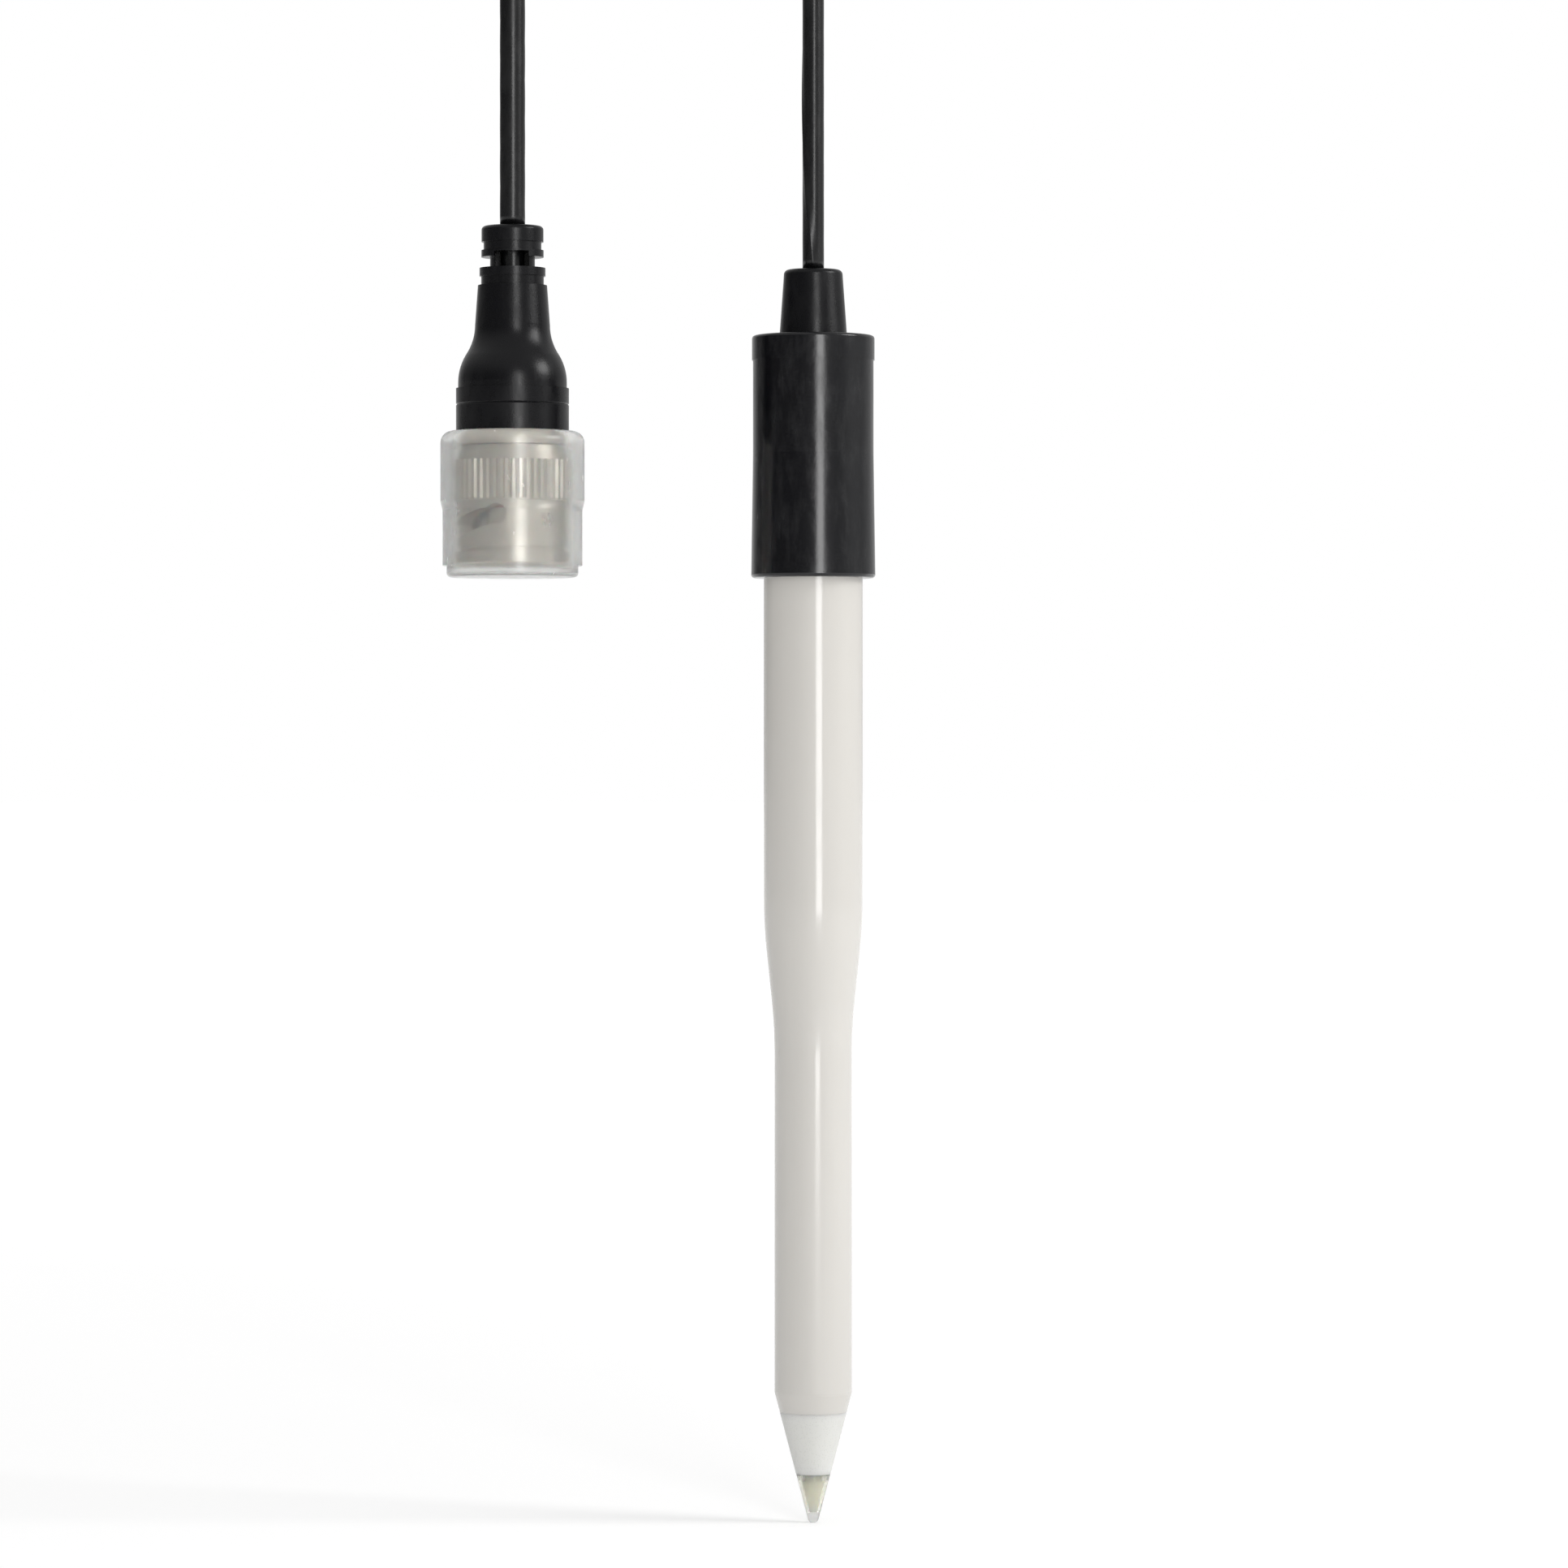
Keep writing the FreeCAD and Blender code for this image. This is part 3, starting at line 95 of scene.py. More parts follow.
class Wire:
    """One output of a node. Sums, differences and products of wires add Math nodes."""

    def __init__(self, nodes, socket):
        self.nodes = nodes
        self.socket = socket

    def math(self, operation, *values):
        return self.nodes.node("ShaderNodeMath", {"operation": operation}, dict(enumerate(values)))

    def __add__(self, other):
        return self.math("ADD", self, other)

    def __sub__(self, other):
        return self.math("SUBTRACT", self, other)

    def __rsub__(self, other):
        return self.math("SUBTRACT", other, self)

    def __mul__(self, other):
        return self.math("MULTIPLY", self, other)

    def clipped(self, low, high):
        """0 at low, 1 at high, and straight between them."""
        limits = {"Value": self, "From Min": low, "From Max": high}
        return self.nodes.node("ShaderNodeMapRange", {"clamp": True}, limits)

    __radd__ = __add__
    __rmul__ = __mul__


class Nodes:
    """A node tree being made."""

    def __init__(self, tree):
        self.tree = tree

    def node(self, kind, settings=None, inputs=None, output=0):
        """Adds a node: its settings first, then the values or links of its sockets."""
        added = self.tree.nodes.new(kind)
        for key, value in (settings or {}).items():
            if key == "stops":
                self.set_stops(added.color_ramp, value)
            else:
                setattr(added, key, value)
        for key, value in (inputs or {}).items():
            self.feed(added.inputs[key], value)
        return Wire(self, added.outputs[output])

    def feed(self, socket, value):
        """Links a wire to a socket, or sets the socket's own value."""
        if isinstance(value, Wire):
            self.tree.links.new(value.socket, socket)
        elif isinstance(value, tuple) and len(value) == 3 and len(socket.default_value) == 4:
            socket.default_value = (*value, 1)
        else:
            socket.default_value = value

    def set_stops(self, ramp, stops):
        """Gives a ramp its (place, colour) stops."""
        while len(ramp.elements) < len(stops):
            ramp.elements.new(1)
        for element, (place, shade) in zip(ramp.elements, stops):
            element.position = place
            element.color = (*shade, 1)


class Finish(Nodes):
    """A material being made: its Principled shader, and the nodes that feed it."""

    def __init__(self, name, **constants):
        self.material = bpy.data.materials.new(name)
        self.material.use_nodes = True
        super().__init__(self.material.node_tree)
        self.shader = self.tree.nodes["Principled BSDF"]
        for socket, value in constants.items():
            self.feed(self.shader.inputs[socket.replace("_", " ")], value)

    def place(self, stretch=(1, 1, 1)):
        """Where a point is on the object, in metres, stretched."""
        here = self.node("ShaderNodeTexCoord", output="Object")
        return self.node("ShaderNodeMapping", {"vector_type": "POINT"}, {"Vector": here, "Scale": stretch})

    def noise(self, per_metre, detail=3, roughness=0.5, stretch=(1, 1, 1)):
        """Soft noise with this many lumps to a metre."""
        inputs = {"Vector": self.place(stretch), "Scale": per_metre, "Detail": detail, "Roughness": roughness}
        return self.node("ShaderNodeTexNoise", inputs=inputs)

    def cells(self, per_metre, stretch=(1, 1, 1)):
        """How far a point is from the nearest of many scattered points."""
        inputs = {"Vector": self.place(stretch), "Scale": per_metre}
        return self.node("ShaderNodeTexVoronoi", inputs=inputs)

    def height(self):
        """How high a point is, in metres."""
        return self.node("ShaderNodeSeparateXYZ", inputs={0: self.place()}, output=2)

    def mixed(self, factor, low, high):
        """One colour where the factor is 0 and another where it is 1."""
        return self.node("ShaderNodeMix", {"data_type": "RGBA"}, {0: factor, 6: low, 7: high}, 2)

    def varied(self, colour, amount, per_metre, stretch=(1, 1, 1)):
        """A colour that drifts a little lighter and darker."""
        darker = tuple(c * (1 - amount) for c in colour)
        lighter = tuple(c * (1 + amount) for c in colour)
        return self.mixed(self.noise(per_metre, stretch=stretch), darker, lighter)

    def bumped(self, height, distance, strength):
        """A normal that follows a height, up to a distance in metres."""
        inputs = {"Height": height, "Distance": distance, "Strength": strength}
        return self.node("ShaderNodeBump", inputs=inputs)

    def done(self, colour, roughness, normal=None, metallic=None):
        """Feeds the shader what varies over the surface, and gives the finished material."""
        fed = {"Base Color": colour, "Roughness": roughness, "Normal": normal, "Metallic": metallic}
        for socket, value in fed.items():
            if value is not None:
                self.feed(self.shader.inputs[socket], value)
        return self.material


# ---------------------------------------------------------------- materials


def barrel_white():
    """Glossy white moulded plastic, a little grey, with faint flow streaks and fine handling marks."""
    f = Finish("barrel_white", IOR=1.5, Coat_Roughness=0.04, Subsurface_Weight=0.12,
               Subsurface_Scale=0.002, Subsurface_Radius=(1.0, 0.9, 0.8))
    colour = f.varied((0.56, 0.542, 0.51), 0.018, 55, (1, 1, 0.25))
    rubs = f.noise(900, 4, 0.6, (1, 1, 0.2)).clipped(0.5, 0.75)
    waves = f.noise(260, 2, 0.4, (1, 1, 0.5))
    return f.done(colour, 0.13 + 0.12 * rubs, f.bumped(waves, 0.00003, 0.35))


def junction_white():
    """Milky porous plastic: matt, speckled with fine pores."""
    f = Finish("junction_white", IOR=1.45, Subsurface_Weight=0.55, Subsurface_Scale=0.002,
               Subsurface_Radius=(1.0, 1.0, 0.9))
    pores = f.cells(4200).clipped(0.0, 0.35)
    colour = f.mixed(pores, (0.54, 0.54, 0.515), (0.63, 0.63, 0.605))
    return f.done(colour, 0.42 + 0.2 * f.noise(1500), f.bumped(pores, 0.00004, 0.5))


def sensing_glass():
    """Thin glass, pale yellow-green down to a clear bead at its end."""
    f = Finish("sensing_glass", IOR=1.5, Transmission_Weight=0.86, Subsurface_Weight=0.3,
               Subsurface_Scale=0.001, Coat_Weight=0.3)
    above_bead = f.height().clipped(FLOOR_Z + 0.9 * MM, FLOOR_Z + 2.2 * MM)
    tint = f.varied((0.98, 0.973, 0.86), 0.01, 300)
    colour = f.mixed(above_bead, (0.99, 0.99, 0.98), tint)
    roughness = 0.03 + 0.05 * f.noise(700) + 0.12 * above_bead
    return f.done(colour, roughness, f.bumped(f.noise(350), 0.00004, 0.3))


def buffer_fill():
    """The yellow-green buffer that fills the tip, a little cloudy."""
    f = Finish("buffer_fill", IOR=1.34, Transmission_Weight=0.25, Subsurface_Weight=0.5,
               Subsurface_Scale=0.002, Subsurface_Radius=(1.0, 1.0, 0.5))
    return f.done(f.varied((0.985, 0.975, 0.87), 0.01, 400), 0.25 + 0.1 * f.noise(500))


def stem_glass():
    """Clear drawn glass tube, with faint draw lines."""
    f = Finish("stem_glass", IOR=1.48, Transmission_Weight=1.0)
    lines = f.noise(2500, 2, 0.5, (1, 1, 0.01))
    colour = f.varied((0.93, 0.95, 0.94), 0.01, 100)
    return f.done(colour, 0.02 + 0.03 * lines, f.bumped(lines, 0.00001, 0.3))


def silver():
    """Drawn silver wire with a grey-brown chloride skin in patches."""
    f = Finish("silver", IOR=1.5)
    skin = f.noise(1200, 4, 0.6).clipped(0.42, 0.6)
    colour = f.mixed(skin, (0.82, 0.81, 0.78), (0.30, 0.26, 0.24))
    return f.done(colour, 0.18 + 0.4 * skin, f.bumped(f.noise(6000), 0.00001, 0.4), 1 - 0.7 * skin)


def silicone():
    """Translucent silicone rubber."""
    f = Finish("silicone", IOR=1.41, Transmission_Weight=0.3, Subsurface_Weight=0.4, Subsurface_Scale=0.001)
    colour = f.varied((0.74, 0.74, 0.72), 0.04, 500)
    return f.done(colour, 0.35 + 0.15 * f.noise(900), f.bumped(f.noise(2500), 0.00002, 0.4))


def frit():
    """Porous sintered ceramic, grainy and matt."""
    f = Finish("frit", IOR=1.5)
    grains = f.cells(5200).clipped(0.05, 0.5)
    colour = f.mixed(grains, (0.62, 0.59, 0.52), (0.87, 0.85, 0.80))
    return f.done(colour, 0.75 + 0.15 * grains, f.bumped(grains, 0.00008, 0.8))


def epoxy():
    """Cast dark epoxy with small air bubbles near its surface."""
    f = Finish("epoxy", IOR=1.55, Coat_Weight=0.4)
    bubbles = 1 - f.cells(1800).clipped(0.05, 0.16)
    colour = f.mixed(bubbles, (0.085, 0.075, 0.065), (0.20, 0.18, 0.15))
    return f.done(colour, 0.12 + 0.2 * f.noise(600), f.bumped(bubbles, 0.00005, 0.6))


def moulded(name, colour, roughness, grain, depth, **constants):
    """Black moulded plastic: a fine grain, soft mottling, and a few lighter specks of dust."""
    f = Finish(name, **constants)
    dust = f.cells(1500).clipped(0.06, 0.03) * f.noise(240).clipped(0.5, 0.62)
    base = f.mixed(dust * 0.12, f.varied(colour, 0.25, 180), (0.25, 0.25, 0.26))
    scuffs = f.noise(700, 4, 0.65, (1, 1, 0.35)).clipped(0.45, 0.8)
    skin = f.bumped(f.noise(grain, 2, 0.6) + 0.3 * f.noise(grain * 0.2, 2), depth, 0.5)
    return f.done(base, roughness + 0.16 * scuffs + 0.25 * dust, skin)


def black_cap():
    """Satin black cap, slightly blue in the light."""
    return moulded("black_cap", (0.0022, 0.0023, 0.0034), 0.17, 3000, 0.00001, IOR=1.47)


def black_rubber():
    """Soft moulded plastic of the boot and the strain relief."""
    return moulded("black_rubber", (0.0015, 0.0015, 0.0023), 0.27, 5000, 0.00002, IOR=1.33)


def black_cord():
    """Extruded jacket: smooth along its length, faintly streaked where it has rubbed."""
    return moulded("black_cord", (0.003, 0.003, 0.0034), 0.26, 4200, 0.000015, IOR=1.42)


def copper():
    """Fine bare copper strands, browned in places."""
    f = Finish("copper", IOR=1.5)
    strands = f.node("ShaderNodeTexWave", {"bands_direction": "DIAGONAL"},
                     {"Vector": f.place(), "Scale": 900.0, "Distortion": 1.5})
    browned = f.noise(900, 3).clipped(0.45, 0.7)
    colour = f.mixed(browned, (0.80, 0.46, 0.30), (0.42, 0.22, 0.13))
    return f.done(colour, 0.25 + 0.3 * browned, f.bumped(strands, 0.00005, 0.7), 1 - 0.2 * browned)


def core_clear():
    """Milky polyethylene round the core."""
    f = Finish("core_clear", IOR=1.5, Subsurface_Weight=0.5, Subsurface_Scale=0.001)
    colour = f.varied((0.82, 0.80, 0.74), 0.02, 300)
    return f.done(colour, 0.3 + 0.12 * f.noise(1200), f.bumped(f.noise(1800), 0.00001, 0.4))


def heat_shrink():
    """Shrunk sleeve: satin black, wrinkled along its length."""
    f = Finish("heat_shrink", IOR=1.5)
    wrinkles = f.noise(1800, 3, 0.6, (1, 1, 0.15))
    colour = f.varied((0.022, 0.022, 0.023), 0.2, 500)
    return f.done(colour, 0.35 + 0.2 * wrinkles, f.bumped(wrinkles, 0.00008, 0.6))


def turned_metal(name, light, dark, roughness):
    """Plated turned metal: fine rings left by the tool, a thin haze and a few dull spots."""
    f = Finish(name, IOR=1.5)
    rings = f.noise(5200, 2, 0.7, (0.02, 0.02, 1))
    haze = f.noise(320, 4, 0.6).clipped(0.4, 0.75)
    spots = f.cells(900).clipped(0.09, 0.03) * haze
    colour = f.mixed(haze * 0.6 + spots * 0.4, light, dark)
    dulled = roughness + 0.10 * haze + 0.05 * rings + 0.2 * spots
    return f.done(colour, dulled, f.bumped(rings, 0.000006, 0.5), 1 - 0.15 * spots)


def nickel():
    """Warm grey nickel plate of the nut and the plug's body."""
    return turned_metal("nickel", (0.56, 0.525, 0.475), (0.42, 0.385, 0.34), 0.42)


def gold():
    """Thin gold plate of the plug's pin."""
    return turned_metal("gold", (0.94, 0.74, 0.38), (0.78, 0.58, 0.26), 0.14)


def spring_steel():
    """Bright spring strip."""
    return turned_metal("spring_steel", (0.58, 0.57, 0.56), (0.42, 0.41, 0.40), 0.24)


def ptfe():
    """White waxy insulator with faint turning marks."""
    f = Finish("ptfe", IOR=1.35, Subsurface_Weight=0.4, Subsurface_Scale=0.001)
    rings = f.noise(3600, 2, 0.6, (0.02, 0.02, 1))
    colour = f.varied((0.86, 0.86, 0.84), 0.015, 300)
    return f.done(colour, 0.4 + 0.15 * rings, f.bumped(rings, 0.00001, 0.5))


def gasket_rubber():
    """Red-brown silicone rubber, powdery."""
    f = Finish("gasket_rubber", IOR=1.43)
    colour = f.varied((0.40, 0.11, 0.06), 0.12, 900)
    return f.done(colour, 0.55 + 0.2 * f.noise(1600), f.bumped(f.noise(4000), 0.00003, 0.6))


def cover_clear():
    """Frosted polyethylene: light comes through it, softened and slightly grey-green."""
    f = Finish("cover_clear", IOR=1.42, Transmission_Weight=0.91, Subsurface_Weight=0.3,
               Subsurface_Scale=0.001)
    frost = f.noise(420, 4, 0.6)
    scuffs = f.noise(700, 3, 0.6, (1, 1, 0.4)).clipped(0.5, 0.8)
    colour = f.mixed(frost, (0.89, 0.895, 0.87), (0.95, 0.955, 0.935))
    return f.done(colour, 0.18 + 0.08 * frost + 0.08 * scuffs, f.bumped(f.noise(300, 2), 0.00002, 0.3))


def tie_black():
    """Black nylon, satin, with a fine grain."""
    return moulded("tie_black", (0.018, 0.018, 0.02), 0.3, 3600, 0.000015, IOR=1.53)


def floor_white():
    """Pale seamless paper with a barely visible tooth."""
    f = Finish("floor_white", IOR=1.45, Specular_IOR_Level=0.1, Emission_Strength=1.0)
    distance = f.node("ShaderNodeVectorMath", {"operation": "LENGTH"}, {0: f.place()}, 1)
    glow = f.mixed(distance.clipped(0.05, 1.2), (0.21,) * 3, (0.46,) * 3)
    f.feed(f.shader.inputs["Emission Color"], glow)
    tooth = f.noise(900, 3)
    return f.done(f.varied((0.9, 0.9, 0.9), 0.004, 40), 0.85 + 0.1 * tooth, f.bumped(tooth, 0.00005, 0.2))


# ---------------------------------------------------------------- mesh helpers


def add_piece(name, points, faces, material, smooth_faces=True):
    """A mesh of the object, in the CAD model's frame, riding on the body that never moves."""
    mesh = bpy.data.meshes.new(name)
    mesh.from_pydata([tuple(p) for p in points], [], faces)
    mesh.validate()
    mesh.polygons.foreach_set("use_smooth", [smooth_faces] * len(mesh.polygons))
    mesh.materials.append(material)
    piece = bpy.data.objects.new(name, mesh)
    bpy.context.scene.collection.objects.link(piece)
    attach(piece, "root")
    return piece


def tube_faces(rings, around):
    """Faces between closed rings of points, with both ends capped."""
    faces = []
    for i in range(rings - 1):
        for j in range(around):
            k = (j + 1) % around
            low, high = i * around, (i + 1) * around
            faces.append((low + j, low + k, high + k, high + j))
    faces.append(tuple(reversed(range(around))))
    faces.append(tuple(range((rings - 1) * around, rings * around)))
    return faces


def loop_faces(rings, around):
    """Faces of a ring whose section has this many points."""
    faces = []
    for i in range(rings):
        for j in range(around):
            low, high, k = i * around, (i + 1) % rings * around, (j + 1) % around
            faces.append((low + j, low + k, high + k, high + j))
    return faces


def chamfered_box(size, edge):
    """Points and faces of a box with its edges taken off."""
    box = bmesh.new()
    bmesh.ops.create_cube(box, size=1)
    bmesh.ops.scale(box, vec=size, verts=box.verts)
    bmesh.ops.bevel(box, geom=box.edges[:], offset=edge, segments=2, profile=0.6, affect="EDGES")
    box.verts.index_update()
    found = [v.co.copy() for v in box.verts], [tuple(v.index for v in face.verts) for face in box.faces]
    box.free()
    return found


# ---------------------------------------------------------------- the lead

CORD_WIDTH = 3.1 * MM
CORD_THICKNESS = 2.62 * MM
TURN_POINTS = 20  # control points to a turn of the coil
CURVE_STEPS = 6  # points of the line to each control point
LONGEST_STEP = 1.2 * MM  # of the jacket's mesh, along the lead
HANG_X = 18.25 * MM  # how far each hanging stretch is from the coil's middle
ROW_RADIUS = 12.1 * MM
ROW_STEP = 2.5 * MM
ROW_RADII = {row: ROW_RADIUS + ROW_STEP * i for i, row in enumerate("abcde")}
STRAND_PITCH = 3.1 * MM
# The places of the turns in the coil's section, in the order that they are wound: rows a to e from the
# inside out, 1 to 4 from the front back. Rows of three lie in the hollows between rows of four.
WOUND = "b1 a1 a2 a3 b4 b3 b2 c1 d2 d3 c2 c3 d4 e3 e2 e1 d1".split()
LAST_CHANGE = 0  # degrees round the last turn at which the lead leaves the coil
CHANGE_WIDTH = 30  # degrees that a turn takes to move over to its next place
CLOSE_CHANGE = 6.5  # degrees between one turn's change and the next
SHARP_CHANGE = 30  # the same where the two changes meet in a sharp corner
SHARP_REACH = 1.2 * STRAND_PITCH  # how near the places on both sides of a sharp corner are to each other
ENTRY_DRAWN_IN, ENTRY_SPAN = 3.25 * MM, 150  # how far the lead draws in as it enters, over how many degrees
EXIT_WIDER, EXIT_SPAN = 3.15 * MM, 170  # how much wider it is where it leaves, over how many degrees
EXIT_BACK, EXIT_BACK_SPAN = 0.6 * MM, 90  # how far back it is where it leaves, over how many degrees


def turn_place(label):
    """The (radius, depth) of one place in the coil's section."""
    offset = 0.5 if label[0] in "ace" else 0
    return Vector((ROW_RADII[label[0]], STRAND_PITCH * (int(label[1]) + offset)))


def smooth(share):
    """0 to 1 as the share goes from 0 to 1, level at both ends."""
    share = min(max(share, 0), 1)
    return share * share * (3 - 2 * share)


def change_angles(places):
    """The angle at which each turn moves over, worked back from the last, so that each leaves room first."""
    angle = LAST_CHANGE
    found = []
    for k in range(len(places), -1, -1):
        found.append(angle + 360 * k)
        sharp = 1 < k < len(places) and (places[k] - places[k - 2]).length < SHARP_REACH
        angle += SHARP_CHANGE if sharp else CLOSE_CHANGE
    return found[::-1]


def winding_point(angle, places, changes):
    """Where the lead is when it has wound through an angle, in degrees, from the probe's side."""
    last_turn = 360 * len(places)
    past = angle - last_turn
    enter = Vector((HANG_X - ENTRY_DRAWN_IN * smooth(angle / ENTRY_SPAN), 0))
    leave = Vector((HANG_X + EXIT_WIDER * smooth(1 - past / EXIT_SPAN),
                    EXIT_BACK * smooth(1 - past / EXIT_BACK_SPAN)))
    spot = enter
    for change, after in zip(changes, places + [leave]):
        spot = spot.lerp(after, smooth((angle - change) / CHANGE_WIDTH + 0.5))
    turned = math.radians(angle)
    return COIL_CENTRE + Vector((spot.x * math.cos(turned), spot.y, spot.x * math.sin(turned)))


def lead_route():
    """Control points: straight up from the grip, round the coil, straight down to the boot."""
    places = [turn_place(label) for label in WOUND]
    changes = change_angles(places)
    turns = len(places) + 0.5
    count = round(turns * TURN_POINTS)
    run_in = HANG_X * math.tan(2 * math.pi / TURN_POINTS)
    points = [Vector((HANG_X, 0, grip_high.z)), COIL_CENTRE + Vector((HANG_X, 0, -run_in))]
    for i in range(count + 1):
        points.append(winding_point(360 * i / TURN_POINTS, places, changes))
    points += [COIL_CENTRE + Vector((-HANG_X, 0, -run_in)), Vector((-HANG_X, 0, boot_high.z))]
    return points


def smooth_line(points):
    """The points of the NURBS line that has these control points."""
    curve = bpy.data.curves.new("route", "CURVE")
    curve.dimensions = "3D"
    curve.resolution_u = CURVE_STEPS
    spline = curve.splines.new("NURBS")
    spline.points.add(len(points) - 1)
    for at, point in zip(spline.points, points):
        at.co = (*point, 1)
    spline.order_u = 3
    spline.use_endpoint_u = True
    holder = bpy.data.objects.new("route", curve)
    mesh = bpy.data.meshes.new_from_object(holder)
    line = [v.co.copy() for v in mesh.vertices]
    bpy.data.objects.remove(holder)
    bpy.data.curves.remove(curve)
    bpy.data.meshes.remove(mesh)
    return closely_spaced(line)


def closely_spaced(line):
    """The same line with points added where it has long steps, so that the rib can wind smoothly."""
    found = [line[0]]
    for a, b in zip(line, line[1:]):
        parts = math.ceil((b - a).length / LONGEST_STEP)
        found += [a.lerp(b, (k + 1) / parts) for k in range(parts)]
    return found


def frames_along(line, across):
    """(point, side, up) along a line; side starts across, and turns no more than the line does."""
    found = []
    side = across
    for i, point in enumerate(line):
        tangent = (line[min(i + 1, len(line) - 1)] - line[max(i - 1, 0)]).normalized()
        side = (side - tangent * side.dot(tangent)).normalized()
        found.append((point, side, tangent.cross(side)))
    return found


RIB_HEIGHT = 0.09 * MM
RIB_TWIST = math.radians(90) / (21 * MM)  # how fast the fine rib winds round the jacket
RIB_AT_BOOT = math.radians(-60)
RIB_SHAPE = ((-9, 0.15), (-4, 0.7), (0, 1), (4, 0.7), (9, 0.15))  # degrees from its crest, and height
AROUND = 20  # points round the jacket


def jacket_section(along, length):
    """The jacket's outline at a distance along it: oval, with one fine rib that winds slowly round it."""
    broad = math.radians(90) * smooth(along / length)
    rib = RIB_AT_BOOT + RIB_TWIST * (length - along)
    edge = RIB_SHAPE[-1][0]
    plain = AROUND - len(RIB_SHAPE)
    spots = list(RIB_SHAPE) + [(edge + (360 - 2 * edge) * (i + 1) / (plain + 1), 0) for i in range(plain)]
    a, b = CORD_WIDTH / 2, CORD_THICKNESS / 2
    outline = []
    for degrees, raised in spots:
        angle = rib + math.radians(degrees)
        turned = angle - broad
        reach = a * b / math.hypot(b * math.cos(turned), a * math.sin(turned)) + RIB_HEIGHT * raised
        outline.append((reach * math.cos(angle), reach * math.sin(angle)))
    return outline


def lead(finishes):
    """The whole lead as one tube, in place of the three plain CAD solids, and the line that it follows."""
    line = smooth_line(lead_route())
    distances = [0]
    for a, b in zip(line, line[1:]):
        distances.append(distances[-1] + (b - a).length)
    points = []
    for (point, side, up), along in zip(frames_along(line, Vector((0, 1, 0))), distances):
        for across, over in jacket_section(along, distances[-1]):
            points.append(point + side * across + up * over)
    faces = tube_faces(len(line), AROUND)
    tube = add_piece("lead", points, faces, finishes["black_cord"])
    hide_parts("probe_lead", "lead_coil", "plug_lead")
    return tube, line


# ---------------------------------------------------------------- small pieces


def revolved(name, profile, axis_x, finish):
    """A closed (radius, height) profile turned round an upright axis."""
    around = 48
    points = []
    for radius, height in profile:
        for j in range(around):
            turned = 2 * math.pi * j / around
            points.append((axis_x + radius * math.cos(turned), radius * math.sin(turned), height))
    return add_piece(name, points, tube_faces(len(profile), around), finish)


def tip_buffer(finish):
    """What fills the spear tip and the foot of its stem, up to a small meniscus."""
    glass_wall, gap = 0.45 * MM, 0.02 * MM
    end_radius = 0.55 * MM  # of the glass, outside, at its very end
    drop_radius, drop_rise = 0.05 * MM, 1.32 * MM
    bore, wire_hole = 1.02 * MM, 0.24 * MM
    fill, meniscus = 3 * MM, 0.2 * MM  # how high it stands in the stem, and how far its middle dips
    stem_foot = stem_low.z
    shoulder_drop = 0.72 * MM  # how far below the stem's foot the glass starts to widen
    foot, shoulder = FLOOR_Z + drop_rise, stem_foot - shoulder_drop
    slope = ((glass_high.x - glass_low.x) / 2 - end_radius) / (glass_high.z - FLOOR_Z)
    low_radius, high_radius = (end_radius + slope * (level - FLOOR_Z) - glass_wall - gap
                               for level in (foot, shoulder))
    profile = [(drop_radius, foot), (low_radius, foot), (high_radius, shoulder), (bore, shoulder),
               (bore, stem_foot + fill), (wire_hole, stem_foot + fill - meniscus)]
    return revolved("tip_buffer", profile, PROBE_X, finish)


def washer_spring(finish):
    """A flat strip bent into three waves: the nut squeezes it as the plug is coupled."""
    inner, outer = 4.05 * MM, (spring_high.x - spring_low.x) / 2
    strip, edge = 0.3 * MM, 0.05 * MM
    middle = (spring_low.z + spring_high.z) / 2
    swing = (spring_high.z - spring_low.z - strip) / 2
    half = strip / 2
    section = [(inner + edge, -half), (outer - edge, -half), (outer, edge - half), (outer, half - edge),
               (outer - edge, half), (inner + edge, half), (inner, half - edge), (inner, edge - half)]
    points = []
    rings, waves = 144, 3
    for i in range(rings):
        turned = 2 * math.pi * i / rings
        level = middle + swing * math.sin(waves * turned)
        for radius, over in section:
            points.append((PLUG_X + radius * math.cos(turned), radius * math.sin(turned), level + over))
    faces = loop_faces(rings, len(section))
    spring = add_piece("spring", points, faces, finish, smooth_faces=False)
    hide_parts("wave_spring")
    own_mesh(spring)
    return spring


def strap_outline(turned, line, count=120):
    """The tight outline (radius, depth) round the strands where a half-plane cuts the coil, and its axes."""
    outward = Vector((math.cos(turned), 0, math.sin(turned)))
    along = Vector((-math.sin(turned), 0, math.cos(turned)))
    rim = []
    reach, rim_points = CORD_WIDTH / 2, 32
    for a, b in zip(line, line[1:]):
        before, after = (a - COIL_CENTRE).dot(along), (b - COIL_CENTRE).dot(along)
        if before * after <= 0 and before != after and (a - COIL_CENTRE).dot(outward) > 0:
            hit = a.lerp(b, before / (before - after))
            for k in range(rim_points):
                way = 2 * math.pi * k / rim_points
                radius = (hit - COIL_CENTRE).dot(outward) + reach * math.cos(way)
                rim.append(Vector((radius, hit.y + reach * math.sin(way))))
    hull = [rim[k] for k in geometry.convex_hull_2d(rim)]
    steps = [(hull[(k + 1) % len(hull)] - hull[k]).length for k in range(len(hull))]
    outline, k, passed = [], 0, 0
    for i in range(count):
        wanted = sum(steps) * i / count
        while passed + steps[k] < wanted:
            passed += steps[k]
            k += 1
        share = (wanted - passed) / steps[k]
        outline.append(hull[k].lerp(hull[(k + 1) % len(hull)], share))
    return outline, outward, along


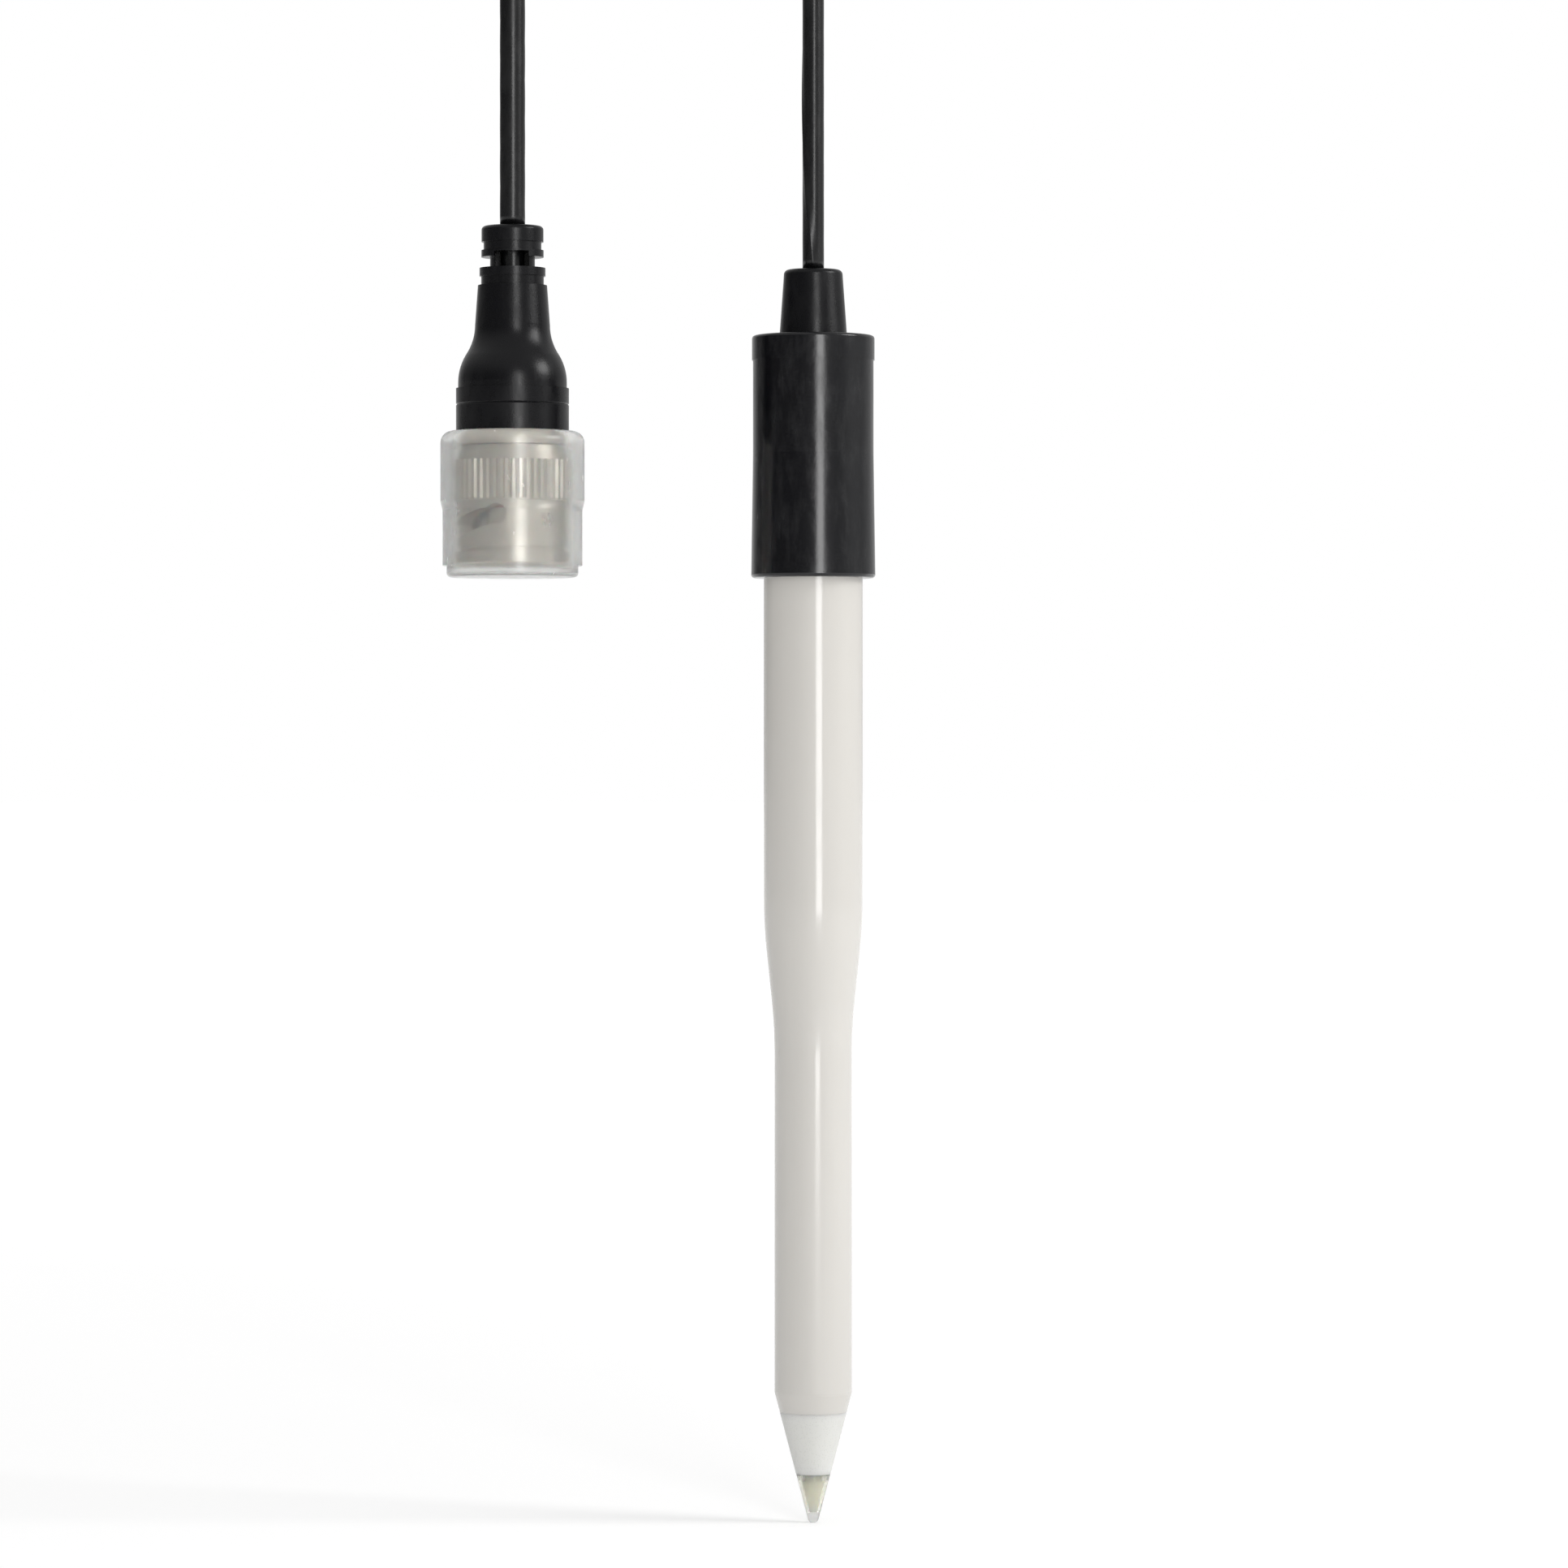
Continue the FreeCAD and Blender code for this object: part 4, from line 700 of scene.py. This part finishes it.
# What a tie has inside the coil, in millimetres: its size outward, back and along the coil, its edge, and how
# far it is moved outward and back.
TIE_HEAD = (3.6, 4.8, 5.6), 0.5, -1.9, 0
TIE_TAIL = (4.4, 0.9, 4.2), 0.2, -4.9, 0.6
TIE_PLATE = (0.5, 3.4, 4.4), 0.15, -3.9, 0


def coil_tie(name, turned, line, finish):
    """A railed strap pulled tight round the coil, with its head and its cut tail inside the coil."""
    outline, outward, along = strap_outline(turned, line)
    half, thick, corner, gap = 2.1 * MM, 0.8 * MM, 0.1 * MM, 0.03 * MM
    rail, rail_top, rail_foot = 0.14 * MM, 0.5 * MM, 0.7 * MM  # a rail along each edge: height and widths
    section = [(-half, corner), (corner - half, 0), (half - corner, 0), (half, corner),
               (half, thick - corner), (half - corner, thick), (half - rail_top, thick),
               (half - rail_foot, thick - rail), (rail_foot - half, thick - rail), (rail_top - half, thick),
               (corner - half, thick), (-half, thick - corner)]
    points = []
    for i, spot in enumerate(outline):
        way = (outline[(i + 1) % len(outline)] - outline[i - 1]).normalized()
        out = Vector((way.y, -way.x))
        for across, over in section:
            flat = spot + out * (over + gap)
            points.append(COIL_CENTRE + outward * flat.x + Vector((0, flat.y, 0)) + along * across)
    faces = loop_faces(len(outline), len(section))
    innermost = min(outline, key=lambda spot: spot.x)
    level = [spot.y for spot in outline if spot.x < innermost.x + 0.3 * MM]
    depth = (min(level) + max(level)) / 2
    for size, edge, shift, back in (TIE_HEAD, TIE_TAIL, TIE_PLATE):
        block, block_faces = chamfered_box(Vector(size) * MM, edge * MM)
        faces += [tuple(len(points) + k for k in face) for face in block_faces]
        for p in block:
            reach = innermost.x + shift * MM + p.x
            behind = Vector((0, depth + back * MM + p.y, 0))
            points.append(COIL_CENTRE + outward * reach + behind + along * p.z)
    tie = add_piece(name, points, faces, finish, smooth_faces=False)
    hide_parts(name.replace("strap", "coil_tie"))
    return tie


# ---------------------------------------------------------------- stage

# How bright the surroundings are, level with the object, by azimuth: the share of a turn from straight behind
# it, round by its left. 0.5 is the side that the render is seen from.
AROUND_STAGE = [
    (0.0, 0.60), (0.08, 0.60), (0.14, 0.14), (0.25, 0.05), (0.38, 0.06), (0.45, 0.14),
    (0.50, 0.30), (0.58, 0.60), (0.62, 0.42), (0.66, 0.48), (0.71, 0.75), (0.75, 0.7),
    (0.79, 0.5), (0.86, 0.55), (0.92, 0.60), (1.0, 0.60),
]
OVERHEAD = 0.72
FLOOR_RADIUS = 30


def surroundings():
    """White where the camera looks; to everything else a dim room, dark on the left and pale overhead."""
    world = bpy.data.worlds.new("surroundings")
    bpy.context.scene.world = world
    world.use_nodes = True
    room = Nodes(world.node_tree)
    way = room.node("ShaderNodeTexCoord", output="Generated")
    side = room.node("ShaderNodeSeparateXYZ", inputs={0: way}, output=0)
    away = room.node("ShaderNodeSeparateXYZ", inputs={0: way}, output=1)
    rise = room.node("ShaderNodeSeparateXYZ", inputs={0: way}, output=2)
    azimuth = side.math("ARCTAN2", side, 0 - away) * (0.5 / math.pi) + 0.5
    stops = [(place, (shade,) * 3) for place, shade in AROUND_STAGE]
    level = room.node("ShaderNodeValToRGB", {"stops": stops}, {0: azimuth})
    overhead = room.node("ShaderNodeMix", {"data_type": "RGBA"},
                         {0: rise.clipped(0.12, 0.6), 6: level, 7: (OVERHEAD,) * 3}, 2)
    seen = room.node("ShaderNodeLightPath", output="Is Camera Ray")
    shown = room.node("ShaderNodeMix", {"data_type": "RGBA"}, {0: seen, 6: overhead, 7: (1.0, 1.0, 1.0)}, 2)
    room.feed(room.tree.nodes["Background"].inputs["Color"], shown)


def lamp(name, place, target, size, power):
    """A soft rectangular lamp that the camera doesn't see."""
    data = bpy.data.lights.new(name, "AREA")
    data.shape = "RECTANGLE"
    data.size, data.size_y = size
    data.energy = power
    light = bpy.data.objects.new(name, data)
    light.location = place
    light.rotation_euler = (Vector(target) - Vector(place)).to_track_quat("-Z", "Y").to_euler()
    light.visible_camera = False
    bpy.context.scene.collection.objects.link(light)


def stage():
    """A plain pale floor that runs out of sight, and soft light from the right."""
    surroundings()
    bpy.ops.mesh.primitive_circle_add(vertices=96, radius=FLOOR_RADIUS, fill_type="NGON",
                                      location=(0, 0, FLOOR_Z))
    floor = bpy.context.object
    floor.name = "floor"
    floor.data.materials.append(floor_white())
    lamp("strip", place=(0.2, -0.79, -0.02), target=(PROBE_X, 0, -0.05), size=(0.19, 0.4), power=1.9)
    lamp("key", place=(1.0, -0.25, 0.4), target=(PROBE_X, 0, -0.18), size=(0.5, 0.4), power=5.2)


# ---------------------------------------------------------------- putting it together


def paint(finishes):
    """Gives every CAD node the finish of its slot."""
    for part in frame["record"]["subparts"]:
        for holder in frame["nodes"][part["node"]].material_slots:
            holder.material = finishes[part["material_slot"]]


def main():
    """Camera, finishes and cord first, then what is on the cord, the tip's filling and the stage."""
    camera()
    bpy.context.scene.view_settings.view_transform = "Standard"
    makers = (barrel_white, junction_white, sensing_glass, stem_glass, silver, silicone, frit, epoxy,
              black_cap, black_rubber, black_cord, copper, core_clear, heat_shrink, nickel, gold, ptfe,
              gasket_rubber, spring_steel, cover_clear, tie_black)
    finishes = {maker.__name__: maker() for maker in makers}
    paint(finishes)
    tube, line = lead(finishes)
    spring = washer_spring(finishes["spring_steel"])
    ties = [coil_tie("strap_right", math.radians(20), line, finishes["tie_black"]),
            coil_tie("strap_left", math.radians(160), line, finishes["tie_black"])]
    tip_buffer(buffer_fill())
    stage()


main()
